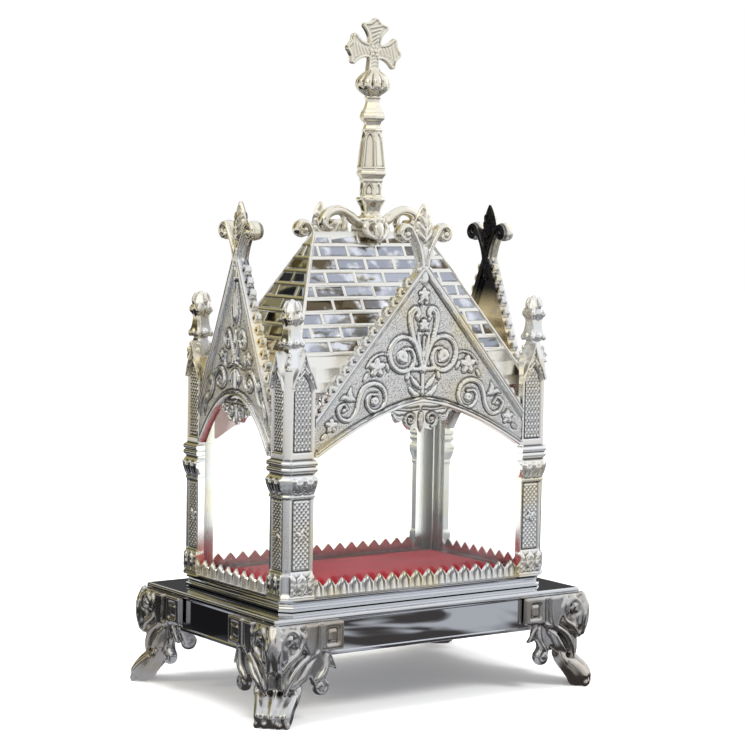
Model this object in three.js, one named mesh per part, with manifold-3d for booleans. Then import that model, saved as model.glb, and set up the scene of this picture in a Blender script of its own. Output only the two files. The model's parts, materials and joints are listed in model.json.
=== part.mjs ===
// Gothic reliquary casket in plated brass: a glazed chamber with a velvet floor between four corner piers,
// a pierced and carved gable on each side, a hipped roof with courses of tiles, and a spire with a cross.
// Millimetres. X runs along the long side, -Y is the front, +Z is up, and the feet stand on z = 0.
import * as THREE from "three";
import { mergeVertices } from "three/addons/utils/BufferGeometryUtils.js";
import Module from "manifold-3d";

const wasm = await Module();
wasm.setup();

// Plinth, the polished slab that carries everything
const plinthHalfLength = 123.8;
const plinthHalfWidth = 81.1;
const plinthBottom = 40.8;
const plinthHeight = 25.7;
const plinthWall = 3;
const plinthLip = 1;

// Feet
const footWingReach = 50;
const footWingThickness = 3.2;
const footWingRise = 4.2;
const footWingHeight = 18;
const footCurlRadius = 6;
const footCurlDrop = 19;
const pawHalfWidth = 11.5;

// Casket base, the moulded plate under the chamber
const baseHeight = 7;
const baseChamfer = 6.5;
const baseBorder = 1;

// Corner piers, angle castings with a pinnacle
const pierHalfLength = 105.6;
const pierHalfWidth = 63.3;
const pierFrontWidth = 21.1;
const pierSideWidth = 18.7;
const pierChamfer = 3.5;
const pierWall = 5;
const pierPanelDepth = 1.1;
const pierPanelRim = 2.2;
const lowerPanelRise = 17.9;
const lowerPanelHeight = 47;
const capitalHeight = 13;
const ringHeight = 8.8;
const upperPanelHeight = 51;
const gabletRise = 16;
const pinnacleHalf = 7.2;
const collarRise = 21;
const budRise = 9;
const budHeight = 16.5;
const budRadius = 6.9;

// Gables, one casting for each side
const gableThickness = 3.6;
const copingThickness = 4;
const copingDepth = 9.5;
const copingProud = 3;
const reliefHeight = 1.5;
const archInset = 2.4;
const archBandWidth = 3;
const archBandProud = 1.6;
const shoulderRise = 19;
const finialNeckRise = 8;
const finialHeight = 34;
const crocketPitch = 15;
const crocketSize = 3.4;
const longGable = { fieldHeight: 98.3, archRise: 32, archPower: 1.55, finialReach: 21.5, narrow: 1 };
const shortGable = { fieldHeight: 103, archRise: 35, archPower: 2, finialReach: 22.5, narrow: 0.52 };

// Fringe rails and glass
const railThickness = 2.2;
const railHeight = 11;
const toothHeight = 5;
const toothPitch = 10;
const glassThickness = 2;
const glassHeight = 127.4;
const velvetThickness = 2.2;
const velvetMargin = 1.2;

// Roof
const roofLedgeHeight = 2.9;
const roofHeight = 102;
const ridgeHalfLength = 46;
const ridgeHalfWidth = 1.2;
const roofWall = 2;
const roofMargin = 1;
const coursePitch = 8.7;
const courseCount = 9;
const jointProud = 0.7;
const jointHalfWidth = 1.3;

// Ridge cresting and spire
const scrollWidth = 8;
const scrollThickness = 4.2;
const scrollReach = 40;
const scrollRise = 16;
const bowlRadius = 11;
const bowlHeight = 8;
const socketRise = 21;
const socketRadius = 9.75;
const spireTurn = 10;
const spireFaces = 8;
const shaftHalfWaist = 7.4;
const shaftHalfFoot = 9.75;
const shaftHalfHead = 6.6;
const waistHeight = 17.3;
const shaftHeight = 27.4;
const balusterHeight = 22;
const balusterHalf = 8.3;
const knobRadius = 11.9;
const knobHeight = 19;
const knobLobes = 8;
const crossStem = 11.6;
const crossArm = 22.5;
const crossThickness = 4.4;
const crossLean = 4;

const clearance = 0.3;
const overlap = 0.5;
const mergeDistance = 1e-4;
const flatness = 1e-3;
const sides = ["front", "right", "back", "left"];
const cornerSigns = { front_left: [-1, -1], front_right: [1, -1], back_left: [-1, 1], back_right: [1, 1] };

// Heights, each standing on the one below it
const plinthTop = plinthBottom + plinthHeight;
const baseBottom = plinthTop + clearance;
const baseTop = baseBottom + baseHeight;
const floorLevel = baseTop + clearance;
const footWingBottom = plinthBottom + footWingRise;
const footWingTop = footWingBottom + footWingHeight;
const footCurlHeight = plinthBottom - footCurlDrop;
const lowerPanelBottom = floorLevel + lowerPanelRise;
const lowerPanelTop = lowerPanelBottom + lowerPanelHeight;
const capitalBottom = lowerPanelTop + 2.5;
const capitalTop = capitalBottom + capitalHeight;
const ringTop = capitalTop + ringHeight;
const upperPanelBottom = ringTop + 4.7;
const upperPanelTop = upperPanelBottom + upperPanelHeight;
const pierTop = upperPanelTop + 3;
const gabletEave = upperPanelTop + 1;
const gabletApex = upperPanelTop + gabletRise;
const pinnacleCollar = upperPanelTop + collarRise;
const pinnacleNeck = pinnacleCollar + budRise;
const pinnacleTip = pinnacleNeck + budHeight;
const archSpring = ringTop + clearance + 1.2;
const gableShoulder = archSpring + shoulderRise;
const glassTop = floorLevel + glassHeight;
const roofFoot = glassTop + roofLedgeHeight + 2 * clearance;
const ridgeHeight = roofFoot + roofHeight;
const bowlRim = ridgeHeight + bowlHeight;
const socketTop = ridgeHeight + socketRise;
const spireBottom = socketTop + 2 + clearance;
const shaftFoot = spireBottom + waistHeight;
const shaftHead = shaftFoot + shaftHeight;
const knobBottom = shaftHead + balusterHeight;
const knobMiddle = knobBottom + knobHeight / 2;
const crossCentre = knobBottom + knobHeight + crossStem;

// How far out the glass and the foot of the roof stand on the long sides and the short sides
function halfOf(long) {
  return long ? pierHalfWidth : pierHalfLength;
}

function gableFace(long) {
  return halfOf(long) - overlap;
}

function glassFront(long) {
  return gableFace(long) + copingProud - copingDepth - clearance;
}

function roofFootHalf(long) {
  return glassFront(long) - roofMargin;
}

function metal(color, roughness) {
  return new THREE.MeshStandardMaterial({ color, roughness, metalness: 1 });
}

const silver = metal(0xd8d4c8, 0.25);
const mirrorSilver = metal(0xc9cbcf, 0.08);
const velvetRed = new THREE.MeshStandardMaterial({ color: 0xa01824, roughness: 0.95 });
const clearGlass = new THREE.MeshStandardMaterial({
  color: 0xf4f8f8,
  roughness: 0.03,
  transparent: true,
  opacity: 0.2,
});

// Solids and how they are joined

function solidOf(geometry) {
  const plain = geometry.clone();
  plain.deleteAttribute("normal");
  plain.deleteAttribute("uv");
  const merged = mergeVertices(plain, mergeDistance);
  const corners = [];
  const index = merged.index.array;
  for (let i = 0; i < index.length; i += 3) {
    const [a, b, c] = [index[i], index[i + 1], index[i + 2]];
    if (a !== b && b !== c && c !== a) corners.push(a, b, c);
  }
  const vertProperties = new Float32Array(merged.attributes.position.array);
  const triVerts = new Uint32Array(corners);
  return new wasm.Manifold(new wasm.Mesh({ numProp: 3, vertProperties, triVerts }));
}

// Faces that lie in one plane are merged first, so that a joint leaves no needless edges.
function geometryOf(solid) {
  const mesh = solid.simplify(flatness).getMesh();
  const geometry = new THREE.BufferGeometry();
  geometry.setAttribute("position", new THREE.BufferAttribute(new Float32Array(mesh.vertProperties), 3));
  geometry.setIndex(new THREE.BufferAttribute(new Uint32Array(mesh.triVerts), 1));
  return geometry;
}

function joined(geometries) {
  return geometryOf(geometries.map(solidOf).reduce((whole, piece) => whole.add(piece)));
}

function cutBy(geometry, cutters) {
  const cut = (whole, cutter) => whole.subtract(cutter);
  return geometryOf(cutters.map(solidOf).reduce(cut, solidOf(geometry)));
}

function flipped(geometry, signX, signY) {
  const turned = geometry.clone();
  turned.scale(signX, signY, 1);
  if (signX * signY < 0) {
    const index = turned.index.array;
    for (let i = 0; i < index.length; i += 3) [index[i], index[i + 1]] = [index[i + 1], index[i]];
  }
  return turned;
}

function boxBetween(x0, y0, z0, x1, y1, z1) {
  const box = new THREE.BoxGeometry(x1 - x0, y1 - y0, z1 - z0);
  box.translate((x0 + x1) / 2, (y0 + y1) / 2, (z0 + z1) / 2);
  return box;
}

function shapeOf(points) {
  return new THREE.Shape(points.map(([u, v]) => new THREE.Vector2(u, v)));
}

// A flat piece in a side's own frame: u across, v up, w outwards from the middle of the casket.
function plate(points, backW, frontW) {
  const solid = new THREE.ExtrudeGeometry(shapeOf(points), { depth: frontW - backW, bevelEnabled: false });
  solid.translate(0, 0, backW);
  return solid;
}

function sideToWorld(geometry, sideNumber) {
  const placed = geometry.clone();
  placed.rotateX(Math.PI / 2);
  placed.rotateZ((sideNumber * Math.PI) / 2);
  return placed;
}

// A closed skin through rings that all have the same number of points, with flat ends.
function loft(rings) {
  const count = rings[0].length;
  const positions = rings.flat(2);
  const index = [];
  for (let r = 0; r + 1 < rings.length; r += 1) {
    for (let i = 0; i < count; i += 1) {
      const j = (i + 1) % count;
      const [a, b, c, d] = [r * count + i, r * count + j, (r + 1) * count + j, (r + 1) * count + i];
      index.push(a, b, c, a, c, d);
    }
  }
  const flat = rings[0].map(([x, y]) => new THREE.Vector2(x, y));
  const last = (rings.length - 1) * count;
  const top = rings[rings.length - 1].map(([x, y]) => new THREE.Vector2(x, y));
  for (const [a, b, c] of THREE.ShapeUtils.triangulateShape(flat, [])) index.push(a, c, b);
  for (const [a, b, c] of THREE.ShapeUtils.triangulateShape(top, [])) {
    index.push(last + a, last + b, last + c);
  }
  const geometry = new THREE.BufferGeometry();
  geometry.setAttribute("position", new THREE.Float32BufferAttribute(positions, 3));
  geometry.setIndex(index);
  return geometry;
}

// A stack of level rings, each given by a height and the outline function's own measures.
function stack(outline, levels) {
  return loft(levels.map(([z, ...measures]) => outline(...measures).map(([x, y]) => [x, y, z])));
}

function rectangle(halfX, halfY) {
  return [[-halfX, -halfY], [halfX, -halfY], [halfX, halfY], [-halfX, halfY]];
}

function chamferedRectangle(halfX, halfY, chamfer) {
  return [
    [-halfX + chamfer, -halfY],
    [halfX - chamfer, -halfY],
    [halfX, -halfY + chamfer],
    [halfX, halfY - chamfer],
    [halfX - chamfer, halfY],
    [-halfX + chamfer, halfY],
    [-halfX, halfY - chamfer],
    [-halfX, -halfY + chamfer],
  ];
}

function ellipse(count, radiusX, radiusY = radiusX, turn = 0) {
  return Array.from({ length: count }, (_, i) => {
    const angle = turn + (2 * Math.PI * i) / count;
    return [radiusX * Math.cos(angle), radiusY * Math.sin(angle)];
  });
}

function turnedPiece(count, levels, turn = 0) {
  return stack((radius) => ellipse(count, radius, radius, turn), levels);
}

// Ornament outlines, in a side's own frame

function placed(points, u, v, angle = 0, sign = 1) {
  const [c, s] = [Math.cos(angle), Math.sin(angle)];
  return points.map(([a, b]) => [u + sign * (a * c - b * s), v + a * s + b * c]);
}

function leafOutline(length, halfWidth, steps = 3) {
  const right = [];
  for (let i = 1; i < steps; i += 1) {
    const t = i / steps;
    right.push([halfWidth * Math.sin(Math.PI * t ** 0.8), length * t]);
  }
  const left = right.map(([a, b]) => [-a, b]).reverse();
  return [[0, 0], ...right, [0, length], ...left];
}

// A scroll: a band that winds inwards from its outer radius, over the given turns.
function scrollOutline(radius, innerRadius, band, startAngle, turns, steps) {
  const outer = [];
  const inner = [];
  for (let i = 0; i <= steps; i += 1) {
    const t = i / steps;
    const angle = startAngle + 2 * Math.PI * turns * t;
    const middle = radius + (innerRadius - radius) * t;
    const half = (band / 2) * (1 - 0.35 * t);
    outer.push([(middle + half) * Math.cos(angle), (middle + half) * Math.sin(angle)]);
    inner.push([(middle - half) * Math.cos(angle), (middle - half) * Math.sin(angle)]);
  }
  return [...outer, ...inner.reverse()];
}

// Plinth and feet

function plinth() {
  const slab = stack(
    (inset) => rectangle(plinthHalfLength - inset, plinthHalfWidth - inset),
    [
      [plinthBottom, 0],
      [plinthBottom + 2, 0],
      [plinthBottom + 2.4, plinthLip],
      [plinthTop - 4, plinthLip],
      [plinthTop - 3.2, 0],
      [plinthTop - 1, 0],
      [plinthTop, plinthLip],
    ],
  );
  const hollowX = plinthHalfLength - plinthLip - plinthWall;
  const hollowY = plinthHalfWidth - plinthLip - plinthWall;
  return cutBy(slab, [
    boxBetween(-hollowX, -hollowY, plinthBottom - 1, hollowX, hollowY, plinthTop - plinthWall),
  ]);
}

// The hanging side of a foot in its own plane: a runs along the plinth from the corner, b is the height.
function footApronOutline() {
  const curl = ellipse(8, footCurlRadius, footCurlRadius, -Math.PI / 2);
  const curlCentre = footWingReach - 16;
  const curlPoints = curl.slice(0, 5).map(([a, b]) => [curlCentre + a, footCurlHeight + b]);
  const below = plinthBottom - clearance;
  return [
    [4, below],
    [4, footCurlHeight],
    [16, footCurlHeight + 1],
    [26, footCurlHeight + 5],
    [curlCentre - footCurlRadius, footCurlHeight],
    ...curlPoints,
    [curlCentre + 1, footCurlHeight + footCurlRadius + 3],
    [footWingReach - 4.5, below - 9],
    [footWingReach - 9, below - 5.5],
    [footWingReach - 10, below],
  ];
}

function footWing(along) {
  const face = along === "x" ? plinthHalfWidth : plinthHalfLength;
  const corner = along === "x" ? plinthHalfLength : plinthHalfWidth;
  const back = face + clearance;
  const front = back + footWingThickness;
  const start = -2;
  const blocks = [
    [start, footWingReach - 16.5, 0],
    [footWingReach - 16.5, footWingReach, 0.8],
    [21, 29, 1.6],
    [6, 16, 1.2],
  ];
  const pieces = blocks.map(([a0, a1, proud]) => plate(
    [[a0, footWingBottom], [a1, footWingBottom], [a1, footWingTop], [a0, footWingTop]],
    back,
    front + proud,
  ));
  const hanging = plate(footApronOutline(), back - 4, front - 0.6);
  const neck = plate([[4, plinthBottom - 4], [footWingReach - 10, plinthBottom - 4],
    [footWingReach - 10, footWingBottom + 1], [4, footWingBottom + 1]], back, front);
  const whole = joined([...pieces, hanging, neck]);
  const panel = plate(
    [[footWingReach - 12.5, footWingBottom + 4], [footWingReach - 3.5, footWingBottom + 4],
      [footWingReach - 3.5, footWingTop - 4], [footWingReach - 12.5, footWingTop - 4]],
    front - 1.2,
    front + 4,
  );
  const wing = cutBy(whole, [panel]);
  wing.translate(-corner - clearance, 0, 0);
  wing.rotateX(Math.PI / 2);
  if (along === "x") return wing;
  return swappedAxes(wing);
}

// Turns a piece made along X into its mirror image along Y.
function swappedAxes(geometry) {
  const swapped = geometry.clone();
  const position = swapped.attributes.position;
  for (let i = 0; i < position.count; i += 1) position.setXY(i, position.getY(i), position.getX(i));
  const index = swapped.index.array;
  for (let i = 0; i < index.length; i += 3) [index[i], index[i + 1]] = [index[i + 1], index[i]];
  return swapped;
}

// The leg at the corner: each level gives the distance out past the corner, the half depth and half width.
function footLeg() {
  const outwards = new THREE.Vector2(-1, -1).normalize();
  const across = new THREE.Vector2(-outwards.y, outwards.x);
  const section = (out, halfDepth, halfWidth) => ellipse(8, 1, 1, Math.PI / 8).map(([a, b]) => {
    const d = out + halfDepth * a;
    const w = halfWidth * b;
    return [
      -plinthHalfLength + outwards.x * d + across.x * w,
      -plinthHalfWidth + outwards.y * d + across.y * w,
    ];
  });
  const legHeight = plinthBottom - clearance;
  return stack(section, [
    [0, 5.6, 4, pawHalfWidth - 3.5],
    [5, 3.8, 6.5, pawHalfWidth - 1],
    [10, -1, 8, pawHalfWidth - 0.5],
    [legHeight * 0.42, -5.2, 7.6, pawHalfWidth],
    [legHeight * 0.6, -7, 5, 9],
    [legHeight * 0.77, -1.8, 7.2, 8.6],
    [legHeight, 0.4, 8, 9.5],
    [footWingTop - 2, 0.4, 7.6, 8],
  ]);
}

function foot() {
  const slabRoom = boxBetween(
    -plinthHalfLength - clearance, -plinthHalfWidth - clearance, plinthBottom - clearance,
    0, 0, plinthTop + 1,
  );
  return cutBy(joined([footWing("x"), footWing("y"), footLeg()]), [slabRoom]);
}

// Casket base, velvet floor and glass

function casketBase() {
  return stack(
    (inset) => chamferedRectangle(
      pierHalfLength + baseBorder - inset,
      pierHalfWidth + baseBorder - inset,
      baseChamfer,
    ),
    [
      [baseBottom, 0],
      [baseBottom + 1.8, 0],
      [baseBottom + 2.3, 1],
      [baseBottom + 4.2, 1.2],
      [baseBottom + 4.8, 0.3],
      [baseTop, 0.3],
    ],
  );
}

function velvetFloor() {
  const [halfX, halfY] = [false, true].map((long) => glassFront(long) - glassThickness - velvetMargin);
  return boxBetween(-halfX, -halfY, floorLevel, halfX, halfY, floorLevel + velvetThickness);
}

// The long panes run past the short ones, which stand between them.
function glassPane(sideNumber) {
  const long = sideNumber % 2 === 0;
  const front = glassFront(long);
  const halfSpan = long ? glassFront(false) : glassFront(true) - glassThickness - clearance;
  const pane = plate(
    [[-halfSpan, floorLevel], [halfSpan, floorLevel], [halfSpan, glassTop], [-halfSpan, glassTop]],
    front - glassThickness,
    front,
  );
  return sideToWorld(pane, sideNumber);
}

// Corner piers

function angleOutline(out, endOut) {
  const [x, y, c, w] = [pierHalfLength + out, pierHalfWidth + out, pierChamfer, pierWall];
  const endX = -pierHalfLength + pierFrontWidth + endOut;
  const endY = -pierHalfWidth + pierSideWidth + endOut;
  return [
    [-x, -y + c], [-x + c, -y], [endX, -y], [endX, -pierHalfWidth + w],
    [-pierHalfLength + w, -pierHalfWidth + w], [-pierHalfLength + w, endY], [-x, endY],
  ];
}

function pierShaft() {
  return stack(angleOutline, [
    [floorLevel, 1, 0],
    [floorLevel + 3.5, 1, 0],
    [floorLevel + 4.5, 0.2, 0],
    [capitalBottom, 0, 0],
    [capitalTop - 1, 2.6, 1.4],
    [capitalTop, 1.4, 0.8],
    [capitalTop + 1.5, 2.9, 1.6],
    [ringTop - 5.1, 2.9, 1.6],
    [ringTop - 4.1, 1.8, 1],
    [ringTop - 2.9, 3, 1.6],
    [ringTop - 0.9, 3, 1.6],
    [ringTop + 0.8, 0, 0],
    [pierTop, 0, 0],
  ]);
}

function pointedPanel(halfWidth, bottom, top) {
  const eave = top - 2.4 * halfWidth;
  return [[-halfWidth, bottom], [halfWidth, bottom], [halfWidth, eave], [0, top], [-halfWidth, eave]];
}

// What one face of a pier carries, drawn about the middle of the face at w = 0.
function pierFace(faceWidth) {
  const half = faceWidth / 2;
  const panelHalf = half - pierPanelRim;
  const cuts = [
    plate(
      [[-panelHalf, lowerPanelBottom], [panelHalf, lowerPanelBottom],
        [panelHalf, lowerPanelTop], [-panelHalf, lowerPanelTop]],
      -pierPanelDepth,
      overlap,
    ),
    plate(pointedPanel(panelHalf, upperPanelBottom, upperPanelTop), -pierPanelDepth, overlap),
  ];
  const gablet = plate(
    [
      [-half, gabletEave - 6],
      [half, gabletEave - 6],
      [half, gabletEave],
      [0, gabletApex],
      [-half, gabletEave],
    ],
    -3,
    0.6,
  );
  const raised = [gablet];
  for (const u of [-half / 2, half / 2]) {
    const leaf = [[u - half / 2 + overlap, floorLevel + 4], [u + half / 2 - overlap, floorLevel + 4],
      [u, floorLevel + 16]];
    raised.push(plate(leaf, -1, 0.9));
  }
  return { cuts, raised };
}

function ontoFrontFace(geometry) {
  const g = geometry.clone();
  g.rotateX(Math.PI / 2);
  g.translate(-pierHalfLength + (pierFrontWidth + pierChamfer) / 2, -pierHalfWidth, 0);
  return g;
}

function ontoSideFace(geometry) {
  const g = geometry.clone();
  g.rotateX(Math.PI / 2);
  g.rotateZ(-Math.PI / 2);
  g.translate(-pierHalfLength, -pierHalfWidth + (pierSideWidth + pierChamfer) / 2, 0);
  return g;
}

function pinnacle() {
  const square = (half) => rectangle(half, half);
  const spirelet = stack(square, [
    [pierTop - 2, pinnacleHalf],
    [pierTop, pinnacleHalf],
    [pinnacleCollar - 2, 3.2],
    [pinnacleCollar - 1, 4.7],
    [pinnacleCollar + 1, 4.7],
    [pinnacleCollar + 2, 3.1],
    [pinnacleNeck, 2.4],
  ]);
  const bud = turnedPiece(6, [
    [pinnacleNeck - overlap, 2.2],
    [pinnacleNeck + budHeight * 0.1, 4.4],
    [pinnacleNeck + budHeight * 0.27, 3.4],
    [pinnacleNeck + budHeight * 0.5, budRadius],
    [pinnacleTip, 0.8],
  ]);
  const whole = joined([spirelet, bud]);
  whole.translate(-pierHalfLength + pinnacleHalf + 0.2, -pierHalfWidth + pinnacleHalf + 0.2, 0);
  return whole;
}

function cornerPier() {
  const front = pierFace(pierFrontWidth - pierChamfer);
  const side = pierFace(pierSideWidth - pierChamfer);
  const cuts = [...front.cuts.map(ontoFrontFace), ...side.cuts.map(ontoSideFace)];
  const raised = [...front.raised.map(ontoFrontFace), ...side.raised.map(ontoSideFace)];
  return joined([cutBy(pierShaft(), cuts), pinnacle(), ...raised]);
}

// Gables

function archPoints(halfSpan, spring, crown, power, steps) {
  return Array.from({ length: steps + 1 }, (_, i) => {
    const u = -halfSpan * Math.cos((Math.PI * i) / steps);
    const rise = 1 - Math.abs(u / halfSpan) ** power;
    return [u, spring + (crown - spring) * rise];
  });
}

// Everything about one gable that follows from its side: its width, its plane and its heights.
function gablePlan(long) {
  const spec = long ? longGable : shortGable;
  const half = (long ? pierHalfLength - pierFrontWidth : pierHalfWidth - pierSideWidth) - clearance;
  const slope = spec.fieldHeight / half;
  return {
    ...spec,
    half,
    slope,
    face: gableFace(long),
    crown: archSpring + spec.archRise,
    apex: gableShoulder + spec.fieldHeight,
    rise: copingThickness * Math.hypot(1, slope),
  };
}

function gableBody({ half, face, crown, apex, rise, archPower }) {
  const arch = archPoints(half - archInset, archSpring, crown, archPower, 10);
  const field = [[half, archSpring], [half, gableShoulder], [0, apex + 2], [-half, gableShoulder],
    [-half, archSpring], ...arch];
  const upper = arch.map(([u, v]) => {
    const lift = archBandWidth * (1.25 - (0.25 * (v - archSpring)) / (crown - archSpring));
    return [Math.sign(u) * Math.min(Math.abs(u) * 1.01, half), v + lift];
  });
  const strip = [[0, apex], [half, gableShoulder], [half, gableShoulder + rise], [0, apex + rise]];
  return [
    plate(field, face - gableThickness, face),
    plate([...arch, ...upper.reverse()], face - gableThickness, face + archBandProud),
    ...[-1, 1].map((sign) => plate(
      strip.map(([u, v]) => [sign * u, v]),
      face + copingProud - copingDepth,
      face + copingProud,
    )),
  ];
}

// Small curled leaves along the top of the slopes
function crockets({ half, face, slope, rise }) {
  const angle = Math.atan(slope);
  const [c, s] = [Math.cos(angle), Math.sin(angle)];
  const count = Math.floor((half * Math.hypot(1, slope) - 14) / crocketPitch);
  const tooth = [[-crocketSize, 0], [crocketSize * 0.8, 0], [crocketSize * 0.4, crocketSize]];
  const pieces = [];
  for (let i = 0; i < count; i += 1) {
    const along = 8 + crocketPitch * i;
    const [u, v] = [half - along * c, gableShoulder + rise + along * s - overlap];
    for (const sign of [-1, 1]) {
      const outline = tooth.map(([a, b]) => [sign * (u - a * c + b * s), v + a * s + b * c]);
      pieces.push(plate(outline, face + copingProud - copingDepth + 1, face - 1));
    }
  }
  return pieces;
}

// The leaf and two curled lobes that stand on a gable
function gableFinial({ finialReach, face, apex, rise }) {
  const neck = Math.max(apex + finialNeckRise, apex + rise * 0.6);
  const lobe = neck + finialHeight * 0.48;
  const middle = face - 1.5;
  const stem = [
    [-5.5, neck - 7],
    [5.5, neck - 7],
    [4.6, neck + 2],
    [3.6, neck + 8],
    [-3.6, neck + 8],
    [-4.6, neck + 2],
  ];
  const leaf = placed(leafOutline(finialHeight - 5, 8.4, 4), 0, neck + 5);
  const arm = [
    [0, neck],
    [3, neck + 1],
    [9, neck + 10],
    [finialReach - 7, lobe + 1],
    [finialReach - 5, lobe + 5.5],
    [finialReach - 11, lobe + 6.5],
    [6, lobe + 2],
    [0, lobe - 6],
  ];
  const pieces = [plate(stem, middle - 3.5, middle + 3.5), plate(leaf, middle - 2.8, middle + 2.8)];
  for (const sign of [-1, 1]) {
    const curl = placed(ellipse(6, 5.8, 5.4), sign * (finialReach - 5.6), lobe);
    pieces.push(plate(arm.map(([u, v]) => [sign * u, v]), middle - 3, middle + 3));
    pieces.push(plate(curl, middle - 3.8, middle + 3.8));
  }
  return pieces;
}

// Raised work on the field: a lily at the middle, with scrolls and rosettes that narrow with the gable.
function gableRelief({ narrow, face, crown }) {
  const n = Math.sqrt(narrow);
  const raised = (points, extra = 0) => plate(points, face - overlap, face + reliefHeight + extra);
  const pieces = [
    raised(placed(leafOutline(31, 5.4 * n), 0, crown + 25), 0.4),
    raised(placed(rectangle(7 * n, 2), 0, crown + 19.5), 0.6),
    raised(placed(leafOutline(14, 3, 2), 0, crown + 4)),
    raised(placed(ellipse(6, 3.6), 0, crown + 65)),
  ];
  for (const sign of [-1, 1]) {
    const scroll = (radius, u, rise, start, turns, steps = 5) => raised(placed(
      scrollOutline(radius, radius * 0.3, radius * 0.34, start, turns, steps),
      sign * u * narrow,
      crown + rise,
      0,
      sign,
    ));
    pieces.push(
      scroll(9.2 * n, 15.5, 33, Math.PI * 1.05, -1.1),
      scroll(9.4 * n, 39, 4, Math.PI * 0.9, -1.15),
      raised(placed(ellipse(6, 5.4 * n), sign * 36 * narrow, crown + 25)),
    );
    if (narrow > 0.8) {
      pieces.push(
        raised(placed(ellipse(6, 6), sign * 58.5, crown - 2)),
        raised(placed(ellipse(6, 4), sign * 69, crown - 13.6)),
      );
    }
  }
  return pieces;
}

// The pierced ornament under the crown of the arch, set a little behind the face
function archPendant({ narrow, face, crown }) {
  const n = Math.sqrt(narrow);
  const set = (points) => plate(points, face - gableThickness + 0.4, face - 1);
  const root = [[-24 * n, crown - 9], [24 * n, crown - 9], [16 * n, crown + 1], [-16 * n, crown + 1]];
  const pieces = [set(root), set(placed(leafOutline(13, 3.4, 2), 0, crown - 10, Math.PI))];
  for (const sign of [-1, 1]) {
    pieces.push(set(placed(ellipse(6, 6.5 * n, 6.5), sign * 7.5 * n, crown - 12)));
    pieces.push(set(placed(leafOutline(14, 3, 2), sign * 13 * n, crown - 6, -sign * 2.2)));
  }
  return pieces;
}

// The ledge at the back of a gable that the roof stands on
function roofLedge(long) {
  const [bottom, top] = [glassTop + clearance, roofFoot - clearance];
  return plate(
    [[-22, bottom], [22, bottom], [22, top], [-22, top]],
    roofFootHalf(long) - roofWall - 1,
    gableFace(long) - gableThickness + overlap,
  );
}

function gable(sideNumber) {
  const long = sideNumber % 2 === 0;
  const plan = gablePlan(long);
  const parts = [gableBody, crockets, gableFinial, gableRelief, archPendant].flatMap((make) => make(plan));
  return sideToWorld(joined([...parts, roofLedge(long)]), sideNumber);
}

// The low edging of pointed teeth between the piers
function fringeRail(sideNumber) {
  const { half, face } = gablePlan(sideNumber % 2 === 0);
  const count = Math.round((2 * half) / toothPitch);
  const pitch = (2 * half) / count;
  const [tip, valley] = [floorLevel + railHeight, floorLevel + railHeight - toothHeight];
  const teeth = Array.from({ length: count }, (_, i) => half - pitch * (i + 0.5));
  const outline = [
    [-half, floorLevel],
    [half, floorLevel],
    ...teeth.flatMap((u) => [[u + pitch / 2, valley], [u, tip]]),
    [-half, valley],
  ];
  const foot = placed(rectangle(half, 0.9), 0, floorLevel + 0.9);
  return sideToWorld(
    joined([plate(outline, face - railThickness, face), plate(foot, face - railThickness, face + 1)]),
    sideNumber,
  );
}

// Roof

function roofOutline(z, out, least) {
  const drop = (ridgeHeight - z) / roofHeight;
  const halfX = ridgeHalfLength + (roofFootHalf(false) - ridgeHalfLength) * drop + out;
  const halfY = roofFootHalf(true) * drop + out;
  return rectangle(halfX, Math.max(halfY, least)).map(([x, y]) => [x, y, z]);
}

// A hollow hip with a raised joint under each course of tiles
function roof() {
  const levels = [[roofFoot, 0]];
  for (let course = courseCount; course >= 1; course -= 1) {
    const z = ridgeHeight - coursePitch * course;
    levels.push([z - jointHalfWidth, 0], [z - jointHalfWidth + 0.4, jointProud],
      [z + jointHalfWidth - 0.4, jointProud], [z + jointHalfWidth, 0]);
  }
  levels.push([ridgeHeight, 0]);
  const rings = levels.map(([z, out]) => roofOutline(z, out, ridgeHalfWidth));
  const room = [roofFoot - 1, ridgeHeight - 4 * roofWall].map((z) => roofOutline(z, -roofWall, 0.8));
  return cutBy(loft(rings), [loft(room)]);
}

// Ridge cresting and spire

function ridgeScroll(sign) {
  const crest = new THREE.CatmullRomCurve3([
    [0.15, 0.34], [0.35, 0.44], [0.5, 0.78], [0.72, 1], [0.92, 0.72], [1, 0.31], [0.89, 0.1], [0.78, 0.31],
  ].map(([along, up]) => new THREE.Vector3(
    along * (scrollReach - scrollThickness / 2),
    0,
    ridgeHeight + clearance + scrollThickness / 2 + up * (scrollRise - scrollThickness - clearance),
  )));
  const section = shapeOf(rectangle(scrollThickness / 2, scrollWidth / 2));
  const steps = 11;
  const rings = [];
  for (let i = 0; i <= steps; i += 1) {
    const t = i / steps;
    const middle = crest.getPoint(t);
    const along = crest.getTangent(t);
    const thin = 1 - 0.35 * t;
    rings.push(section.getPoints(1).slice(0, 4).map((p) => [
      middle.x + along.z * p.x * thin,
      p.y * (1 - 0.3 * t),
      middle.z - along.x * p.x * thin,
    ]));
  }
  return tubeThrough(rings, sign);
}

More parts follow.
